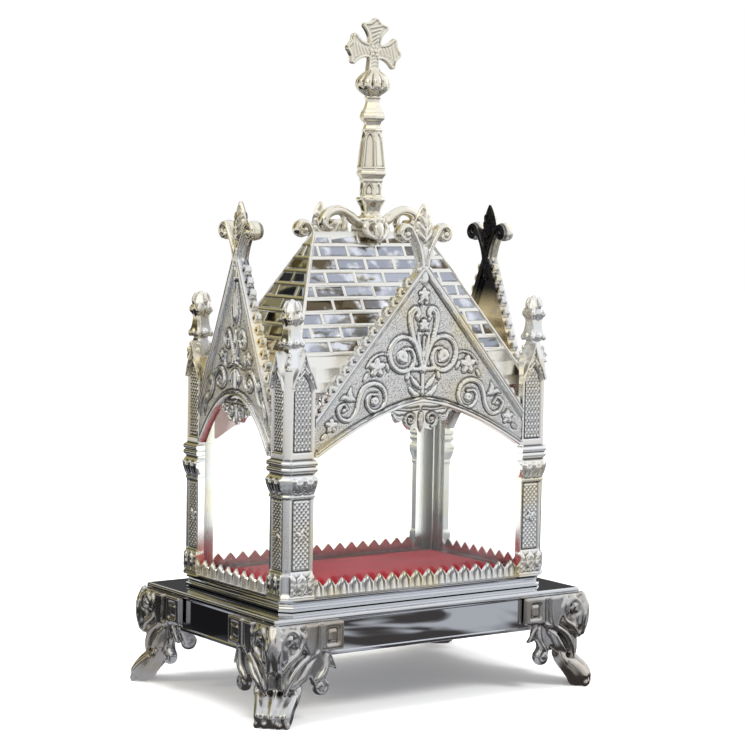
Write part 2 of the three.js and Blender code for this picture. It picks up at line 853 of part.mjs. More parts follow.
// A closed tube through four-cornered rings that need not be level, mirrored for the other side.
function tubeThrough(rings, sign) {
  const positions = rings.flat().flatMap(([x, y, z]) => [sign * x, y, z]);
  const count = rings[0].length;
  const index = [];
  const face = (a, b, c) => (sign < 0 ? index.push(a, b, c) : index.push(a, c, b));
  for (let r = 0; r + 1 < rings.length; r += 1) {
    for (let i = 0; i < count; i += 1) {
      const j = (i + 1) % count;
      face(r * count + i, (r + 1) * count + j, r * count + j);
      face(r * count + i, (r + 1) * count + i, (r + 1) * count + j);
    }
  }
  const last = (rings.length - 1) * count;
  for (let i = 1; i + 1 < count; i += 1) {
    face(0, i, i + 1);
    face(last, last + i + 1, last + i);
  }
  const geometry = new THREE.BufferGeometry();
  geometry.setAttribute("position", new THREE.Float32BufferAttribute(positions, 3));
  geometry.setIndex(index);
  return geometry;
}

function ridgeCresting() {
  const bowl = turnedPiece(8, [
    [ridgeHeight + clearance, 4.5],
    [ridgeHeight + 2.5, 5.5],
    [bowlRim - 2, bowlRadius],
    [bowlRim + 1, bowlRadius],
    [bowlRim + 2, 7.5],
    [socketTop - 9, 6.2],
    [socketTop - 3, 8.2],
    [socketTop, socketRadius],
    [socketTop + 2, socketRadius],
  ]);
  const saddle = boxBetween(-9, -4, ridgeHeight + clearance, 9, 4, ridgeHeight + 6);
  return joined([bowl, saddle, ridgeScroll(1), ridgeScroll(-1)]);
}

function spireShaft() {
  const turn = THREE.MathUtils.degToRad(spireTurn) + Math.PI / spireFaces;
  const corner = 1 / Math.cos(Math.PI / spireFaces);
  return turnedPiece(spireFaces, [
    [spireBottom, shaftHalfWaist * corner],
    [shaftFoot - 8.5, shaftHalfWaist * corner],
    [shaftFoot - 2.6, shaftHalfFoot * corner],
    [shaftFoot, shaftHalfFoot * corner],
    [shaftHead, shaftHalfHead * corner],
    [shaftHead + balusterHeight * 0.18, 5.6 * corner],
    [shaftHead + balusterHeight * 0.32, (balusterHalf - 0.7) * corner],
    [shaftHead + balusterHeight * 0.47, balusterHalf * corner],
    [shaftHead + balusterHeight * 0.88, 4.6 * corner],
    [knobBottom + 1, 4.8 * corner],
  ], turn);
}

// Raised lancets on the faces of the shaft
function shaftLancets() {
  const pieces = [];
  const lean = Math.atan((shaftHalfFoot - shaftHalfHead) / (shaftHead - shaftFoot));
  for (let i = 0; i < spireFaces; i += 1) {
    const panel = plate(pointedPanel(2.2, 0, shaftHeight - 3), -overlap, 0.6);
    panel.rotateX(Math.PI / 2 - lean);
    panel.translate(0, -shaftHalfFoot, shaftFoot + 1);
    panel.rotateZ(THREE.MathUtils.degToRad(spireTurn) + (2 * Math.PI * i) / spireFaces);
    pieces.push(panel);
  }
  return pieces;
}

function gadroonedKnob() {
  const count = knobLobes * 2;
  const outline = (radius, depth) => Array.from({ length: count }, (_, i) => {
    const angle = (2 * Math.PI * i) / count;
    const r = i % 2 === 0 ? radius : radius * (1 - depth);
    return [r * Math.cos(angle), r * Math.sin(angle)];
  });
  return stack(outline, [
    [knobBottom, 4.6, 0],
    [knobMiddle - knobHeight * 0.22, knobRadius * 0.87, 0.12],
    [knobMiddle, knobRadius, 0.12],
    [knobMiddle + knobHeight * 0.22, knobRadius * 0.79, 0.1],
    [knobBottom + knobHeight, 4.2, 0],
  ]);
}

// One arm of the cross, drawn upwards from the middle, with three points at its end
function crossArmOutline(length) {
  return [
    [-3.4, 0], [3.4, 0], [3.2, 4], [3.9, length * 0.45], [6.4, length * 0.66], [10.4, length * 0.72],
    [7.2, length * 0.86], [2.6, length * 0.9], [0, length], [-2.6, length * 0.9], [-7.2, length * 0.86],
    [-10.4, length * 0.72], [-6.4, length * 0.66], [-3.9, length * 0.45], [-3.2, 4],
  ];
}

function cross() {
  const half = crossThickness / 2;
  const arms = [0, 1, 2].map((quarter) => plate(
    placed(crossArmOutline(crossArm), 0, 0, ((quarter - 1) * Math.PI) / 2),
    -half,
    half,
  ));
  const stemFoot = knobBottom + knobHeight - 4 - crossCentre;
  const stem = plate([[-3.6, stemFoot], [3.6, stemFoot], [3.3, 1], [-3.3, 1]], -half, half);
  const boss = plate(ellipse(8, 4.6), -half - 0.7, half + 0.7);
  const whole = joined([...arms, stem, boss]);
  whole.rotateX(Math.PI / 2);
  whole.rotateY(THREE.MathUtils.degToRad(crossLean));
  whole.translate(0, 0, crossCentre);
  return whole;
}

function spire() {
  return joined([spireShaft(), ...shaftLancets(), gadroonedKnob(), cross()]);
}

// The whole object

const casket = new THREE.Group();

function add(name, geometry, material) {
  const mesh = new THREE.Mesh(geometry, material);
  mesh.name = name;
  casket.add(mesh);
}

add("plinth", plinth(), mirrorSilver);
const nearFoot = foot();
const nearPier = cornerPier();
for (const [corner, [signX, signY]] of Object.entries(cornerSigns)) {
  add(`foot_${corner}`, flipped(nearFoot, -signX, -signY), silver);
}
add("casket_base", casketBase(), mirrorSilver);
add("velvet_floor", velvetFloor(), velvetRed);
for (const [corner, [signX, signY]] of Object.entries(cornerSigns)) {
  add(`pier_${corner}`, flipped(nearPier, -signX, -signY), silver);
}
sides.forEach((side, number) => {
  add(`gable_${side}`, gable(number), silver);
  add(`fringe_${side}`, fringeRail(number), silver);
  add(`glass_${side}`, glassPane(number), clearGlass);
});
add("roof", roof(), silver);
add("ridge_cresting", ridgeCresting(), silver);
add("spire", spire(), silver);

export default casket;
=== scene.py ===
# Gothic reliquary casket: finely carved, plated castings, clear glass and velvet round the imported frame.
# Sizes are in millimetres until a piece becomes a mesh. On a side u runs across, v up and w outwards.
import json
import math

import bmesh
import bpy
import numpy as np
from mathutils import Matrix, Vector

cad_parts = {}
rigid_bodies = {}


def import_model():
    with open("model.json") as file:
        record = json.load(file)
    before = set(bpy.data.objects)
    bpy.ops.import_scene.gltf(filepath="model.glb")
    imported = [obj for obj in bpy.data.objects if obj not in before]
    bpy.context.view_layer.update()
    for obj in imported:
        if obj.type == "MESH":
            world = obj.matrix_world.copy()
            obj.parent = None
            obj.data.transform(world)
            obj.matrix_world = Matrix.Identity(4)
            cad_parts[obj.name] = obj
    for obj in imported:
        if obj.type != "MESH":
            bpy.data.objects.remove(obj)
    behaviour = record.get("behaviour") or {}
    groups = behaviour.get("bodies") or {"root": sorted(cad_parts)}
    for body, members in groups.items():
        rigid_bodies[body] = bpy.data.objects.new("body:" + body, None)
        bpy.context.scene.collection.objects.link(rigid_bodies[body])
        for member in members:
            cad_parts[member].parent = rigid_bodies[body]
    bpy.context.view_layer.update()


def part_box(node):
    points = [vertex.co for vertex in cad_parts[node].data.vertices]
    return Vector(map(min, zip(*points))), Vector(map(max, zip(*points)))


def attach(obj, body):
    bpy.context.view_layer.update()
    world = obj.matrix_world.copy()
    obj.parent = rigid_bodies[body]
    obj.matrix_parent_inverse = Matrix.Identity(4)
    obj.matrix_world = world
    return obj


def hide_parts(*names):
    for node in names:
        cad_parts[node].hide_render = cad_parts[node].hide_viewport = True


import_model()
MM = 0.001


def node_box(node):
    low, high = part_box(node)
    return np.array(low) / MM, np.array(high) / MM


# Driving sizes, read from the frame
PLINTH_LOW, PLINTH_HIGH = node_box("plinth")
BASE_LOW, BASE_HIGH = node_box("casket_base")
VELVET_LOW, VELVET_HIGH = node_box("velvet_floor")
PIER_TIP = node_box("pier_front_left")[1][2]
ROOF_LOW, ROOF_HIGH = node_box("roof")
LONG_HALF = node_box("gable_front")[1][0]
SHORT_HALF = node_box("gable_left")[1][1]
GLASS_TOP = node_box("glass_front")[1][2]
SPIRE_LOW = node_box("spire")[0]
FLOOR_LEVEL = VELVET_LOW[2]
CLEARANCE = 0.3
# Heights over which a painted warm reflection grows on the plating towards the tops
WARM_REFLECTION_FROM, WARM_REFLECTION_TO = PIER_TIP + 20, PIER_TIP + 55
# Heights over which the painted reflection on a gable's back turns from gold to dark
DARK_REFLECTION_FROM, DARK_REFLECTION_TO = PIER_TIP - 18, PIER_TIP + 4

# Corner piers
BASE_BORDER = 1.0
BASE_CHAMFER = 6.5
PIER_X = BASE_HIGH[0] - BASE_BORDER
PIER_Y = BASE_HIGH[1] - BASE_BORDER
PIER_FRONT = PIER_X - LONG_HALF - CLEARANCE
PIER_SIDE = PIER_Y - SHORT_HALF - CLEARANCE
PIER_CHAMFER = 3.5
PIER_WALL = 5.0
LOWER_PANEL = (FLOOR_LEVEL + 17.9, FLOOR_LEVEL + 64.9)
CAPITAL_FOOT = LOWER_PANEL[1] + 2.5
RING_TOP = CAPITAL_FOOT + 21.8
UPPER_PANEL = (RING_TOP + 4.7, RING_TOP + 55.7)
PIER_TOP = UPPER_PANEL[1] + 3.0
GABLET_APEX = UPPER_PANEL[1] + 13.0
COLLAR = UPPER_PANEL[1] + 21.0
NECK = COLLAR + 9.0

# Gables
ARCH_SPRING = RING_TOP + 1.5
SHOULDER = ARCH_SPRING + 19.0
PLATE = 3.6
COPING = 4.0
COPING_DEPTH = 9.5
COPING_PROUD = 3.0
COPING_FACE = 1.5
LEDGE_HALF = 22
GROUND_REACH = 0.32
CROCKET_PITCH = 8.2
LONG_GABLE = dict(
    half=LONG_HALF, face=PIER_Y - 0.5, rise=98.3, arch=32.0, power=1.55, reach=21.5, neck=8.0, narrow=1.0,
    pitch=0.64,
)
SHORT_GABLE = dict(
    half=SHORT_HALF, face=PIER_X - 0.5, rise=103.0, arch=35.0, power=2.0, reach=21.5, neck=3.0, narrow=0.52,
    pitch=0.55,
)
for plan in (LONG_GABLE, SHORT_GABLE):
    plan["slope"] = plan["rise"] / plan["half"]
    plan["crown"] = ARCH_SPRING + plan["arch"]
    plan["apex"] = SHOULDER + plan["rise"]
    plan["lift"] = COPING * math.hypot(1, plan["slope"])

# Roof
RIDGE = ROOF_HIGH[2]
ROOF_FOOT = ROOF_LOW[2]
RIDGE_HALF = 46.0
COURSE = 8.7
COURSES = 9
JOINT = 2.9
TILE_PITCH = 23.3
UPRIGHT = 2.2

# Feet
FOOT_REACH = 50.0
WING_FOOT = PLINTH_LOW[2] + 4.2
WING_TOP = WING_FOOT + 18.0
CURL_Z = PLINTH_LOW[2] - 19.0

# Fringe
TOOTH_PITCH = 10.0

# Spire and cross
SHAFT_FOOT = SPIRE_LOW[2] + 17.3
SHAFT_HEAD = SHAFT_FOOT + 27.4
KNOB_FOOT = SHAFT_HEAD + 22.0
KNOB_HEIGHT = 19.0
KNOB_RADIUS = 11.9
CROSS_CENTRE = KNOB_FOOT + KNOB_HEIGHT + 11.6
CROSS_ARM = 22.2
SPIRE_TURN = 13.0

# How fine the skin of each casting is
FINIAL_SKIN = 0.62
PINNACLE_SKIN = 0.55
FOOT_SKIN = 0.85
CRESTING_SKIN = 0.64
CROSS_SKIN = 0.46

# Painted reflection on the back of a gable, for what its flat polished back reflects: dark above, gold at the
# roof's height and rosy inside the chamber
PAINTED_DARK_REFLECTION = (0.02, 0.02, 0.024)
PAINTED_GOLD_REFLECTION = (0.9, 0.76, 0.5)
PAINTED_ROSY_REFLECTION = (0.3, 0.19, 0.17)

# What the polished metal sees round it: direction, how wide in degrees, colour
STUDIO = (
    ((0, 0, 1), 62, (0.9, 0.92, 0.95)),
    ((0.75, -0.65, 0.1), 60, (0.78, 0.8, 0.83)),
    ((1, 0.15, 0.25), 40, (1.2, 1.2, 1.2)),
    ((-0.5, -0.85, 0.3), 16, (0.12, 0.12, 0.13)),
    ((0.57, -0.5, 0.64), 28, (0.95, 0.97, 1.02)),
    ((-0.57, 0.8, -0.02), 34, (0.86, 0.79, 0.6)),
    ((-0.38, 0.81, 0.43), 38, (0.4, 0.35, 0.17)),
    ((0.574, 0.814, 0.08), 16, (0.07, 0.07, 0.07)),
    ((-1, -0.1, 0.2), 20, (0.22, 0.2, 0.16)),
    ((-0.75, -0.3, 0.6), 16, (1.5, 1.42, 1.2)),
    ((-0.46, 0.81, 0.25), 15, (0.03, 0.03, 0.03)),
)

# The camera stands a little above the casket, looking at its front left corner
CAMERA_AZIMUTH = -35.2
CAMERA_ELEVATION = 4.62
CAMERA_ROLL = 1.04
CAMERA_DISTANCE = 1528.4
CAMERA_AIM = (3.3, 211.7)
CAMERA_LENS = 109.0

SIDES = ("front", "right", "back", "left")
CORNERS = {"front_left": (1, 1), "front_right": (-1, 1), "back_left": (1, -1), "back_right": (-1, -1)}


# Parts: a part is its points in millimetres and its faces as lists of point numbers


def merged(parts):
    points, faces, start = [], [], 0
    for part_points, part_faces in parts:
        points.append(np.asarray(part_points, float))
        faces.extend([start + i for i in face] for face in part_faces)
        start += len(part_points)
    return np.concatenate(points), faces


def loft(rings, closed=False):
    """A skin through rings of equal size: capped at both ends, or joined end to end when closed."""
    rings = np.asarray(rings, float)
    count, size = rings.shape[:2]
    index = np.arange(count * size).reshape(count, size)
    if closed:
        index = np.vstack([index, index[:1]])
    here, there = index[:-1], index[1:]
    quads = np.stack([here, np.roll(here, -1, 1), np.roll(there, -1, 1), there], -1)
    faces = quads.reshape(-1, 4).tolist()
    if not closed:
        faces += [index[0][::-1].tolist(), index[-1].tolist()]
    return rings.reshape(-1, 3), faces


def flipped(part, sign_x, sign_y):
    points, faces = part
    points = points * (sign_x, sign_y, 1)
    if sign_x * sign_y < 0:
        faces = [face[::-1] for face in faces]
    return points, faces


def on_side(part, side):
    """Takes a part drawn as (u, v, w) to its side of the casket: 0 front, 1 right, 2 back, 3 left."""
    points, faces = part
    u, v, w = points.T
    x, y = [(u, -w), (w, u), (-u, w), (-w, -u)][side]
    return np.stack([x, y, v], 1), faces


def mirrored(part):
    points, faces = part
    return points * (-1, 1, 1), [face[::-1] for face in faces]


def slab(outline, back, front):
    """A flat plate between two depths, drawn in u and v."""
    outline = np.asarray(outline, float)
    area = np.sum(outline[:, 0] * np.roll(outline[:, 1], -1) - outline[:, 1] * np.roll(outline[:, 0], -1))
    if area < 0:
        outline = outline[::-1]
    rings = [np.column_stack([outline, np.full(len(outline), w)]) for w in (back, front)]
    return loft(rings)


def level_bar(half, low, high, back, front):
    """A bar across a side, as long to the left as to the right."""
    return slab([(-half, low), (half, low), (half, high), (-half, high)], back, front)


def smooth_path(points, count):
    """A curve through the given points, of any dimension."""
    points = np.asarray(points, float)
    before = 2 * points[0] - points[1]
    after = 2 * points[-1] - points[-2]
    knots = np.vstack([before, points, after])
    t = np.linspace(0, len(points) - 1 - 1e-9, count)
    k = t.astype(int)
    s = (t - k)[:, None]
    a, b, c, d = knots[k], knots[k + 1], knots[k + 2], knots[k + 3]
    return 0.5 * (2 * b + (c - a) * s + (2 * a - 5 * b + 4 * c - d) * s**2 + (3 * b - a - 3 * c + d) * s**3)


def spiral(centre, radius, inner, start, sweep, count=40):
    """Points on a curl that winds inwards, with its angles in degrees."""
    t = np.linspace(0, 1, count)
    angle = np.radians(start + sweep * t)
    r = radius + (inner - radius) * t**0.8
    return np.stack([centre[0] + r * np.cos(angle), centre[1] + r * np.sin(angle)], 1)


def tube(path, radii, across=(0, 1, 0), flat=1.0, sides=10):
    """A round bar of changing radius along a path; flat squashes it along the across direction."""
    path = np.asarray(path, float)
    radii = np.broadcast_to(np.asarray(radii, float), (len(path),))
    tangent = np.gradient(path, axis=0)
    tangent /= np.linalg.norm(tangent, axis=1, keepdims=True)
    side = np.asarray(across, float) - tangent * (tangent @ np.asarray(across, float))[:, None]
    side /= np.linalg.norm(side, axis=1, keepdims=True)
    up = np.cross(side, tangent)
    ends = [(-0.75, 0.66), (-0.45, 0.9)], [(0.45, 0.9), (0.75, 0.66)]
    stations = [(path[0] + tangent[0] * radii[0] * s, radii[0] * k, 0) for s, k in ends[0]]
    stations += [(path[i], radii[i], i) for i in range(len(path))]
    stations += [(path[-1] + tangent[-1] * radii[-1] * s, radii[-1] * k, -1) for s, k in ends[1]]
    angle = np.linspace(0, 2 * math.pi, sides, endpoint=False)
    rings = []
    for centre, radius, i in stations:
        ring = up[i] * np.cos(angle)[:, None] + side[i] * flat * np.sin(angle)[:, None]
        rings.append(centre + radius * ring)
    return loft(rings)


def ball(centre, radii, turn=0.0, levels=11, sides=14):
    """An egg with its own three radii, turned about the up axis by degrees."""
    polar = np.radians(np.linspace(-82, 82, levels))
    angle = np.linspace(0, 2 * math.pi, sides, endpoint=False)
    c, s = math.cos(math.radians(turn)), math.sin(math.radians(turn))
    rings = []
    for p in polar:
        x = radii[0] * math.cos(p) * np.cos(angle)
        y = radii[1] * math.cos(p) * np.sin(angle)
        z = np.full_like(angle, radii[2] * math.sin(p))
        rings.append(np.stack([c * x - s * y, s * x + c * y, z], 1) + centre)
    return loft(rings)


def turned(profile, sides=48, shape=None):
    """A turned piece from (height, radius) pairs; shape(angle, height) scales the radius for lobes."""
    angle = np.linspace(0, 2 * math.pi, sides, endpoint=False)
    rings = []
    for z, radius in profile:
        r = radius * (shape(angle, z) if shape else 1.0)
        rings.append(np.stack([r * np.cos(angle), r * np.sin(angle), np.full_like(angle, z)], 1))
    return loft(rings)


def rounded_rectangle(half_x, half_y, corner, steps=4):
    """Its points, with one more on each flat close to the bend, so that the flats shade as flats."""
    points = []
    ease = min(1.0, 0.4 * (min(half_x, half_y) - corner))
    for quarter, (sx, sy) in enumerate([(1, 1), (-1, 1), (-1, -1), (1, -1)]):
        for k in range(-1, steps + 2):
            angle = math.pi / 2 * (quarter + min(max(k, 0), steps) / steps)
            past = ease * ((k > steps) - (k < 0))
            points.append((
                sx * (half_x - corner) + corner * math.cos(angle) - past * math.sin(angle),
                sy * (half_y - corner) + corner * math.sin(angle) + past * math.cos(angle),
            ))
    return np.array(points)


def at_height(outline, z):
    return np.column_stack([outline, np.full(len(outline), z)])


# From parts to meshes


def raw_object(name, part):
    points, faces = part
    mesh = bpy.data.meshes.new(name)
    mesh.from_pydata((points * MM).tolist(), [], faces)
    obj = bpy.data.objects.new(name, mesh)
    bpy.context.scene.collection.objects.link(obj)
    return obj


def point_normals(part):
    """The direction each point of a part faces."""
    obj = raw_object("facing", part)
    normals = np.empty(len(part[0]) * 3)
    obj.data.vertices.foreach_get("normal", normals)
    bpy.data.objects.remove(obj)
    return normals.reshape(-1, 3)


def evaluated_part(obj):
    """What an object's modifiers make of it, as a part; the object itself is then removed."""
    graph = bpy.context.evaluated_depsgraph_get()
    mesh = bpy.data.meshes.new_from_object(obj.evaluated_get(graph))
    points = np.empty(len(mesh.vertices) * 3)
    mesh.vertices.foreach_get("co", points)
    faces = [list(face.vertices) for face in mesh.polygons]
    bpy.data.objects.remove(obj)
    bpy.data.meshes.remove(mesh)
    return points.reshape(-1, 3) / MM, faces


def cast(parts, voxel, rounds):
    """Runs overlapping parts into one casting with softened joints."""
    obj = raw_object("mould", merged(parts))
    remesh = obj.modifiers.new("one skin", "REMESH")
    remesh.mode = "VOXEL"
    remesh.voxel_size = voxel * MM
    if rounds:
        smooth = obj.modifiers.new("polish", "SMOOTH")
        smooth.factor = 0.5
        smooth.iterations = rounds
    return evaluated_part(obj)


def recess_values(mesh, rounds=8, depth=0.0003):
    """How far each point lies below the smoothed surface round it, from 0 to 1."""
    count = len(mesh.vertices)
    points = np.empty(count * 3)
    mesh.vertices.foreach_get("co", points)
    points = points.reshape(-1, 3)
    normals = np.empty(count * 3, np.float32)
    mesh.vertex_normals.foreach_get("vector", normals)
    edges = np.empty(len(mesh.edges) * 2, np.int64)
    mesh.edges.foreach_get("vertices", edges)
    a, b = edges.reshape(-1, 2).T
    number = np.maximum(np.bincount(a, minlength=count) + np.bincount(b, minlength=count), 1)
    soft = points.copy()
    for _ in range(rounds):
        for axis in range(3):
            column = soft[:, axis]
            total = np.bincount(a, column[b], count) + np.bincount(b, column[a], count)
            soft[:, axis] = 0.5 * column + 0.5 * total / number
    below = ((soft - points) * normals.reshape(-1, 3)).sum(1)
    return np.clip(below / depth, 0, 1) ** 1.4


def piece(name, parts, material, nodes=(), sharp=35, carved=True, marks=None):
    """A finished piece that rides on the casket and stands for the CAD nodes it is given."""
    obj = raw_object(name, merged(parts))
    mesh = obj.data
    work = bmesh.new()
    work.from_mesh(mesh)
    bmesh.ops.recalc_face_normals(work, faces=work.faces)
    work.to_mesh(mesh)
    work.free()
    mesh.shade_smooth()
    mesh.set_sharp_from_angle(angle=math.radians(sharp))
    mesh.materials.append(material)
    if carved:
        # The recess values drive the painted shade in the hollows of the plating
        layer = mesh.attributes.new("recess", "FLOAT", "POINT")
        layer.data.foreach_set("value", recess_values(mesh))
    for mark, values in (marks or {}).items():
        mesh.attributes.new(mark, "FLOAT", "POINT").data.foreach_set("value", values)
    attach(obj, "root")
    if nodes:
        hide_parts(*nodes)
    return obj


# Nodes


def feed(tree, node, inputs):
    """Gives a node's inputs plain values or the outputs of other nodes."""
    for name, value in inputs.items():
        if isinstance(value, bpy.types.NodeSocket):
            tree.links.new(value, node.inputs[name])
        else:
            node.inputs[name].default_value = value


def add_node(tree, kind, inputs=None, **settings):
    node = tree.nodes.new(kind)
    for name, value in settings.items():
        setattr(node, name, value)
    feed(tree, node, inputs or {})
    return node


# Rows of one shape, made with Geometry Nodes


def row_tree():
    """Instances of one shape on a straight row of points, each turned about the w axis."""
    tree = bpy.data.node_groups.new("row of one shape", "GeometryNodeTree")
    for name, kind in (
        ("Geometry", "NodeSocketGeometry"),
        ("Shape", "NodeSocketObject"),
        ("Start", "NodeSocketVector"),
        ("End", "NodeSocketVector"),
        ("Count", "NodeSocketInt"),
        ("Turn", "NodeSocketRotation"),
        ("Metal", "NodeSocketMaterial"),
    ):
        tree.interface.new_socket(name, in_out="INPUT", socket_type=kind)
    tree.interface.new_socket("Geometry", in_out="OUTPUT", socket_type="NodeSocketGeometry")
    given = add_node(tree, "NodeGroupInput").outputs
    ends = {"Count": given["Count"], "Start Location": given["Start"], "Offset": given["End"]}
    line = add_node(tree, "GeometryNodeMeshLine", ends, mode="END_POINTS", count_mode="TOTAL")
    shape = add_node(tree, "GeometryNodeObjectInfo", {"Object": given["Shape"]})
    copies = add_node(tree, "GeometryNodeInstanceOnPoints", {
        "Points": line.outputs["Mesh"],
        "Instance": shape.outputs["Geometry"],
        "Rotation": given["Turn"],
    })
    real = add_node(tree, "GeometryNodeRealizeInstances", {"Geometry": copies.outputs["Instances"]})
    metal = {"Geometry": real.outputs["Geometry"], "Material": given["Metal"]}
    coat = add_node(tree, "GeometryNodeSetMaterial", metal)
    add_node(tree, "NodeGroupOutput", {"Geometry": coat.outputs["Geometry"]})
    return tree


def set_input(modifier, name, value):
    for item in modifier.node_group.interface.items_tree:
        if item.item_type == "SOCKET" and item.in_out == "INPUT" and item.name == name:
            modifier[item.identifier] = value


def row(part, start, end, count, turn=0.0):
    """The part repeated from start to end in its side's own frame, turned by degrees."""
    shape = raw_object("one of a row", part)
    holder = raw_object("row", (np.zeros((1, 3)), []))
    modifier = holder.modifiers.new("row", "NODES")
    modifier.node_group = ROW
    for name, value in (
        ("Shape", shape),
        ("Start", [c * MM for c in start]),
        ("End", [c * MM for c in end]),
        ("Count", count),
        ("Turn", (0.0, 0.0, math.radians(turn))),
        ("Metal", RELIEF_METAL),
    ):
        set_input(modifier, name, value)
    made = evaluated_part(holder)
    bpy.data.objects.remove(shape)
    return made


# Carving: raised work drawn on a field of points


class Carving:
    """A field of points (u, v) whose height is raised by strokes, leaves and bosses."""

    def __init__(self, u, v):
        self.u, self.v = u, v
        self.height = np.zeros_like(u)
        self.gap = np.full_like(u, 99.0)

    def near(self, low, high):
        return np.nonzero((self.u > low[0]) & (self.u < high[0]) & (self.v > low[1]) & (self.v < high[1]))

    def lift(self, spot, gap, height):
        self.height[spot] = np.maximum(self.height[spot], height)
        self.gap[spot] = np.minimum(self.gap[spot], gap)

    def stroke(self, path, width, height, vein=0.0):
        """A rounded bar along a path; width may change along it, and vein cuts a groove down its middle."""
        path = np.asarray(path, float)
        width = np.broadcast_to(np.asarray(width, float), (len(path),))
        reach = width.max() + 2.5
        spot = self.near(path.min(0) - reach, path.max(0) + reach)
        if not len(spot[0]):
            return
        at = np.stack([self.u[spot], self.v[spot]], 1)[:, None, :]
        a, d = path[None, :-1], np.diff(path, axis=0)[None]
        t = np.clip(((at - a) * d).sum(2) / np.maximum((d * d).sum(2), 1e-9), 0, 1)
        away = np.linalg.norm(at - a - d * t[:, :, None], axis=2)
        wide = width[:-1][None] * (1 - t) + width[1:][None] * t
        best = np.argmin(away - wide, axis=1)[:, None]
        away = np.take_along_axis(away, best, 1)[:, 0]
        wide = np.maximum(np.take_along_axis(wide, best, 1)[:, 0], 0.05)
        ratio = np.clip(away / wide, 0, 1)
        shape = height * np.sqrt(1 - ratio**2) * np.minimum(1, wide / width.max() + 0.35)
        if vein:
            shape = shape - vein * np.exp(-((away / (0.22 * width.max())) ** 2)) * (ratio < 1)
        self.lift(spot, away - wide, shape)

    def leaf(self, path, half_width, height, lobes=0, vein=0.45):
        """A pointed leaf along a path, with notched edges where it has lobes."""
        path = smooth_path(path, 26) if len(path) > 2 else np.linspace(path[0], path[1], 26)
        t = np.linspace(0, 1, len(path))
        width = half_width * np.sin(math.pi * t**0.75) ** 0.8
        if lobes:
            width = width * (0.72 + 0.28 * np.abs(np.cos(lobes * math.pi * t)))
        self.stroke(path, width, height, vein)

    def boss(self, centre, radius, height, dimple=0.0):
        spot = self.near(np.array(centre) - radius - 2.5, np.array(centre) + radius + 2.5)
        away = np.hypot(self.u[spot] - centre[0], self.v[spot] - centre[1])
        ratio = np.clip(away / radius, 0, 1)
        shape = height * np.sqrt(1 - ratio**2) - dimple * np.exp(-((away / (0.35 * radius)) ** 2))
        self.lift(spot, away - radius, shape)

    def rosette(self, centre, radius, height, petals=5):
        for k in range(petals):
            angle = 2 * math.pi * (k + 0.25) / petals
            out = np.array([math.cos(angle), math.sin(angle)])
            self.leaf([centre + out * radius * 0.15, centre + out * radius], radius * 0.36, height, vein=0.3)
        self.boss(centre, radius * 0.3, height * 1.25, 0.3)

    def volute(self, centre, radius, start, sweep, band, height):
        """A curl with a small boss in its eye."""
        path = spiral(centre, radius, radius * 0.3, start, sweep)
        width = band * np.linspace(1, 0.6, len(path))
        self.stroke(path, width, height)
        self.boss(centre, radius * 0.26, height * 1.2)

    def finished(self, ground):
        """The height with a narrow trench round all raised work; ground is the untouched surface."""
        outside = np.clip(self.gap, 0, None)
        trench = 0.55 * np.exp(-((outside / 0.7) ** 2)) * (self.gap > 0)
        return np.where(self.gap > 0, ground - trench, self.height)


def smoothstep(low, high, x):
    t = np.clip((x - low) / (high - low), 0, 1)
    return t * t * (3 - 2 * t)


def groove(x, at, width, depth):
    return -depth * np.exp(-(((x - at) / width) ** 2))


def punched(u, v, size=1.5, height=0.22, seed=5):
    """The fine punched grain of a background: smooth noise from a seeded grid."""
    rng = np.random.default_rng(seed)
    table = rng.random((256, 256))
    x, y = u / size + 400.3, v / size + 400.7
    i, j = np.floor(x).astype(int), np.floor(y).astype(int)
    fx, fy = x - i, y - j
    fx, fy = fx * fx * (3 - 2 * fx), fy * fy * (3 - 2 * fy)
    corner = [table[(i + a) % 256, (j + b) % 256] for a, b in ((0, 0), (1, 0), (0, 1), (1, 1))]
    mix = (corner[0] * (1 - fx) + corner[1] * fx) * (1 - fy) + (corner[2] * (1 - fx) + corner[3] * fx) * fy
    return height * (2 * mix - 1)


def diaper(u, v, pitch, height):
    """Small pyramids set on the diagonal."""
    a = np.abs((u + v) / pitch % 1 - 0.5) * 2
    b = np.abs((u - v) / pitch % 1 - 0.5) * 2
    return height * (1 - 2 * np.maximum(a, b) * 0.9)


# Gables


def arch_curve(plan, u):
    span = plan["half"] - 2.4
    rise = 1 - np.minimum(np.abs(u) / span, 1) ** plan["power"]
    return ARCH_SPRING + plan["arch"] * rise


def slope_line(plan, u):
    return plan["apex"] - plan["slope"] * np.abs(u)


def swelling(root, middle, tip, rising, falling):
    """Widths along a stroke that grow to a middle and thin out to its tip, over so many points each."""
    return np.concatenate([np.linspace(root, middle, rising), np.linspace(middle, tip, falling)])


